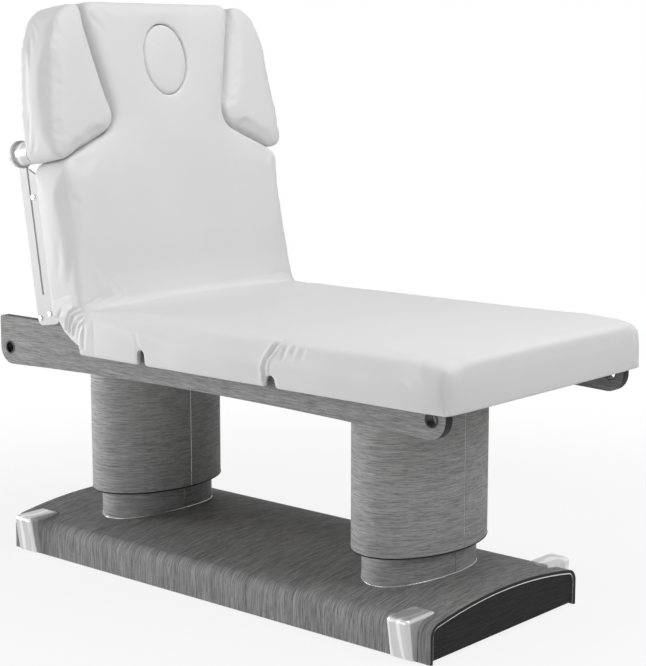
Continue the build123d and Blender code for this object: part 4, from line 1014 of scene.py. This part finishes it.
def makeGusset(sideName, sign, plan, trees):
    inner = table["halfWidth"] - foldPlan["roundInset"]
    shares = np.linspace(0, 1, plan["columns"])
    grid = [
        alongLine(foldProfile(trees, plan, sign, math.radians(degrees), foldPlan["roundLevel"], inner), shares)
        for degrees in plan["angles"]
    ]
    top = grid[-1]
    free = alongLine(plan["freeEdge"], shares)
    for r in range(1, plan["rows"] + 1):
        v = r / plan["rows"]
        row = top.copy()
        row[:, [0, 2]] = top[:, [0, 2]] * (1 - v) + free * v
        row[:, 1] = [sign * padsReach(trees, x, z, sign, plan) for x, _, z in row]
        grid.append(row)
    grid = np.array(grid)
    # the cloth bridges the gap between the two sections instead of dropping into it
    rounded = len(plan["angles"])
    depth = grid[:, :, 1] * sign
    for _ in range(plan["bridging"]):
        eased = depth.copy()
        eased[1:-1, 1:-1] = (depth[:-2, 1:-1] + depth[2:, 1:-1] + depth[1:-1, :-2] + depth[1:-1, 2:]) / 4
        depth[rounded:] = np.maximum(eased, depth)[rounded:]
    border = np.sin(np.pi * shares)[None, :] ** 0.5
    sink = creased(grid[:, :, 0].ravel(), grid[:, :, 2].ravel(), plan["folds"]).reshape(depth.shape)
    start = step(np.arange(len(grid))[:, None], 0, rounded + 1)
    grid[:, :, 1] = sign * (depth + (plan["swell"] * border - plan["tuck"] - sink * border) * start)
    obj = sheetMesh(f"fold_gusset_{sideName}", grid if sign < 0 else grid[:, ::-1], "cover_white")
    solid = obj.modifiers.new("cloth", "SOLIDIFY")
    solid.thickness = plan["thickness"]
    solid.offset = -1
    applyModifier(obj, solid)
    refined(obj)
    finishedSoft(obj)
    blendAtFold(obj)


sectionTrees = [surfaceTree(mattress), surfaceTree(backPad)]
makeFoldStrip(foldPlan, sectionTrees)
makeGusset("right", -1, gussetPlan, sectionTrees)
makeGusset("left", 1, gussetPlan, sectionTrees)
report("fold cover")


# Oval trims on the two columns, and seams, each a dark strip of painted shadow in the joint with a light strip of
# painted highlight beside it, with half sizes along and across the table
columnPlan = {
    "head": -0.5235,
    "foot": 0.4065,
    "upper": (0.1355, 0.210),
    "lower": (0.1085, 0.183),
    "upperBottom": 0.1872,
    "vault": {"crown": 0.1216, "side": 0.092, "halfWidth": 0.2965},
    "lip": {"radius": 0.0022, "inset": 0.0012},
    "footRing": {"radius": 0.0009, "outset": 0.0004},
    "ringPoints": 96,
    "seams": {"upper": ("lifting_frame", (0.1885, 0.590)), "lower": ("base", (0.1225, 0.470))},
    "seamDepth": 0.001,
    # by material: the name's ending, the width, how far it stands proud and its place across; the dark strip paints the
    # seam's shadow and the light strip paints its highlight
    "seamLines": {"edge_black": ("", 0.0016, 0.0003, 0.0), "trim_light": ("_edge", 0.0008, 0.0004, -0.0013)},
}


def vaultHeight(y, vault):
    # the base cover's top is an arc from side to side
    rise = vault["crown"] - vault["side"]
    radius = (vault["halfWidth"]**2 + rise**2) / 2 / rise
    return vault["crown"] - radius + math.sqrt(radius**2 - y**2)


def ovalRing(name, centre, halfSizes, heightAt, radius, material, body):
    curve = bpy.data.curves.new(name, "CURVE")
    curve.dimensions = "3D"
    curve.bevel_depth = radius
    curve.bevel_resolution = 3
    spline = curve.splines.new("POLY")
    count = columnPlan["ringPoints"]
    spline.points.add(count - 1)
    for i in range(count):
        t = 2 * math.pi * i / count
        y = halfSizes[1] * math.sin(t)
        spline.points[i].co = (centre + halfSizes[0] * math.cos(t), y, heightAt(y), 1)
    spline.use_cyclic_u = True
    helper = linked(name + "_line", curve)
    mesh = bpy.data.meshes.new_from_object(helper.evaluated_get(bpy.context.evaluated_depsgraph_get()))
    bpy.data.objects.remove(helper)
    mesh.name = name
    mesh.materials.clear()
    shadedSmooth(mesh)
    obj = placed(name, mesh, material)
    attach(obj, body)


def makeColumnTrims(plan):
    inset, outset = plan["lip"]["inset"], plan["footRing"]["outset"]
    upper = [size - inset for size in plan["upper"]]
    lower = [size + outset for size in plan["lower"]]
    for end in ("head", "foot"):
        ovalRing(
            f"sleeve_lip_{end}", plan[end], upper, lambda y: plan["upperBottom"] + inset,
            plan["lip"]["radius"], "edge_black", "lifting_frame",
        )
        ovalRing(
            f"column_foot_ring_{end}", plan[end], lower, lambda y: vaultHeight(y, plan["vault"]) + outset,
            plan["footRing"]["radius"], "trim_light", "base",
        )


def seamLine(name, x, z, outward, material, body):
    # a thin upright strip down the end of a column, painted shadow or painted highlight at the seam by its material
    _, width, proud, shift = columnPlan["seamLines"][material]
    low = (x - outward * columnPlan["seamDepth"], shift - width / 2, z[0])
    high = (x + outward * proud, shift + width / 2, z[1])
    made = bmesh.new()
    bmesh.ops.create_cube(made, size=1.0)
    for vert in made.verts:
        vert.co = [low[k] + (high[k] - low[k]) * (vert.co[k] + 0.5) for k in range(3)]
    bmesh.ops.recalc_face_normals(made, faces=made.faces)
    obj = placed(name, meshFrom(name, made), material)
    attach(obj, body)


def makeSeams(plan):
    for end in ("head", "foot"):
        for part, (body, z) in plan["seams"].items():
            for side, outward in (("foot", 1), ("head", -1)):
                x = plan[end] + outward * plan[part][0]
                # each seam gets one strip of painted shadow and one of painted highlight beside it
                for material, (suffix, *_) in plan["seamLines"].items():
                    seamLine(f"seam_{part}_{end}_{side}{suffix}", x, z, outward, material, body)


makeColumnTrims(columnPlan)
makeSeams(columnPlan)
report("column trims")


# Floor, light and camera
def whiteToTheEye(tree, at):
    # 1 for what the camera sees, also in a reflection or through glass
    path = node(tree, "ShaderNodeLightPath", at).outputs
    seen = mathNode(tree, "MAXIMUM", (at[0] + 200, at[1]), path["Is Camera Ray"], path["Is Glossy Ray"])
    return mathNode(tree, "MAXIMUM", (at[0] + 400, at[1]), seen, path["Is Transmission Ray"])


def mixedShader(tree, share, first, second, target):
    mix = node(tree, "ShaderNodeMixShader", (250, 0))
    for socket, value in zip(mix.inputs, (share, first.outputs[0], second.outputs[0])):
        tree.links.new(value, socket)
    tree.links.new(mix.outputs[0], target.inputs["Surface"])


def floorMaterial(name, settings):
    # white to the eye, while a part of it takes the object's shadow near the object
    material = bpy.data.materials.new(name)
    material.use_nodes = True
    tree = material.node_tree
    shader = tree.nodes["Principled BSDF"]
    shader.inputs["Base Color"].default_value = (*settings["color"], 1)
    shader.inputs["Roughness"].default_value = settings["roughness"]
    shader.inputs["Specular IOR Level"].default_value = settings["specular"]
    glow = node(tree, "ShaderNodeEmission", (-100, -250), Color=grey(1), Strength=1.0)
    place = node(tree, "ShaderNodeTexCoord", (-1100, 100)).outputs["Object"]
    length = node(tree, "ShaderNodeVectorMath", (-900, 100), operation="LENGTH")
    tree.links.new(place, length.inputs[0])
    fade = ranged(
        tree, length.outputs["Value"], (-700, 100),
        given=settings["fade"], wanted=(settings["whiteShare"], 1.0), shape="SMOOTHSTEP",
    )
    share = mathNode(tree, "MULTIPLY", (-300, -50), whiteToTheEye(tree, (-900, -200)), fade)
    mixedShader(tree, share, shader, glow, tree.nodes["Material Output"])
    return material


# The floor fades to white between two distances, and the focal length is in the photograph's pixels
stagePlan = {
    "floorSize": 60.0,
    "floor": {"color": grey(0.80), "roughness": 0.9, "specular": 0.1, "whiteShare": 0.86, "fade": (1.0, 2.6)},
    "worldLight": 0.05,
    "lights": {
        "keySoftbox": {"at": (-4.1, -2.0, 1.05), "aim": (-0.1, 0.0, 0.65), "size": (2.0, 1.7), "watts": 110},
        "frontSoftbox": {"at": (-0.5, -4.5, 0.95), "aim": (0.0, 0.0, 0.6), "size": (2.4, 1.6), "watts": 52},
        "topSoftbox": {"at": (1.2, 0.0, 3.4), "aim": (0.5, 0.0, 0.7), "size": (3.0, 2.6), "watts": 63},
        "footSoftbox": {"at": (3.5, 0.5, 2.6), "aim": (0.0, 0.0, 0.9), "size": (2.0, 1.8), "watts": 47},
    },
    "camera": {
        "at": (2.9375, -3.2756, 1.3751), "azimuth": 40.997, "pitch": 9.285,
        "focal": 1735.13, "longSide": 666, "sensor": 36, "clipEnd": 200,
    },
}


def makeFloor(plan):
    size = plan["floorSize"]
    materials["floor"] = floorMaterial("floorWhite", plan["floor"])
    corners = [[(x, y, 0.0) for x in (-size, size)] for y in (-size, size)]
    sheetMesh("floor", corners, "floor")


def makeWorld(plan):
    world = bpy.data.worlds.new("studio")
    bpy.context.scene.world = world
    world.use_nodes = True
    tree = world.node_tree
    tree.nodes.clear()
    soft = node(tree, "ShaderNodeBackground", (-200, 150), Color=grey(1), Strength=plan["worldLight"])
    white = node(tree, "ShaderNodeBackground", (-200, -50), Color=grey(1), Strength=1.0)
    seen = whiteToTheEye(tree, (-800, 0))
    mixedShader(tree, seen, soft, white, node(tree, "ShaderNodeOutputWorld", (450, 0)))


def makeLights(plan):
    for name, values in plan["lights"].items():
        lamp = bpy.data.lights.new(name, "AREA")
        lamp.shape = "RECTANGLE"
        lamp.size, lamp.size_y = values["size"]
        lamp.energy = values["watts"]
        obj = linked(name, lamp)
        obj.location = values["at"]
        obj.rotation_euler = (Vector(values["aim"]) - Vector(values["at"])).to_track_quat("-Z", "Y").to_euler()


def makeCamera(view):
    lens = bpy.data.cameras.new("photoCamera")
    lens.sensor_width = view["sensor"]
    lens.lens = view["focal"] * view["sensor"] / view["longSide"]
    lens.clip_end = view["clipEnd"]
    camera = linked("photoCamera", lens)
    camera.location = view["at"]
    camera.rotation_euler = (math.radians(90 - view["pitch"]), 0, math.radians(view["azimuth"]))
    bpy.context.scene.camera = camera
    bpy.context.scene.view_settings.view_transform = "Standard"


makeFloor(stagePlan)
makeWorld(stagePlan)
makeLights(stagePlan)
makeCamera(stagePlan["camera"])
report("stage")
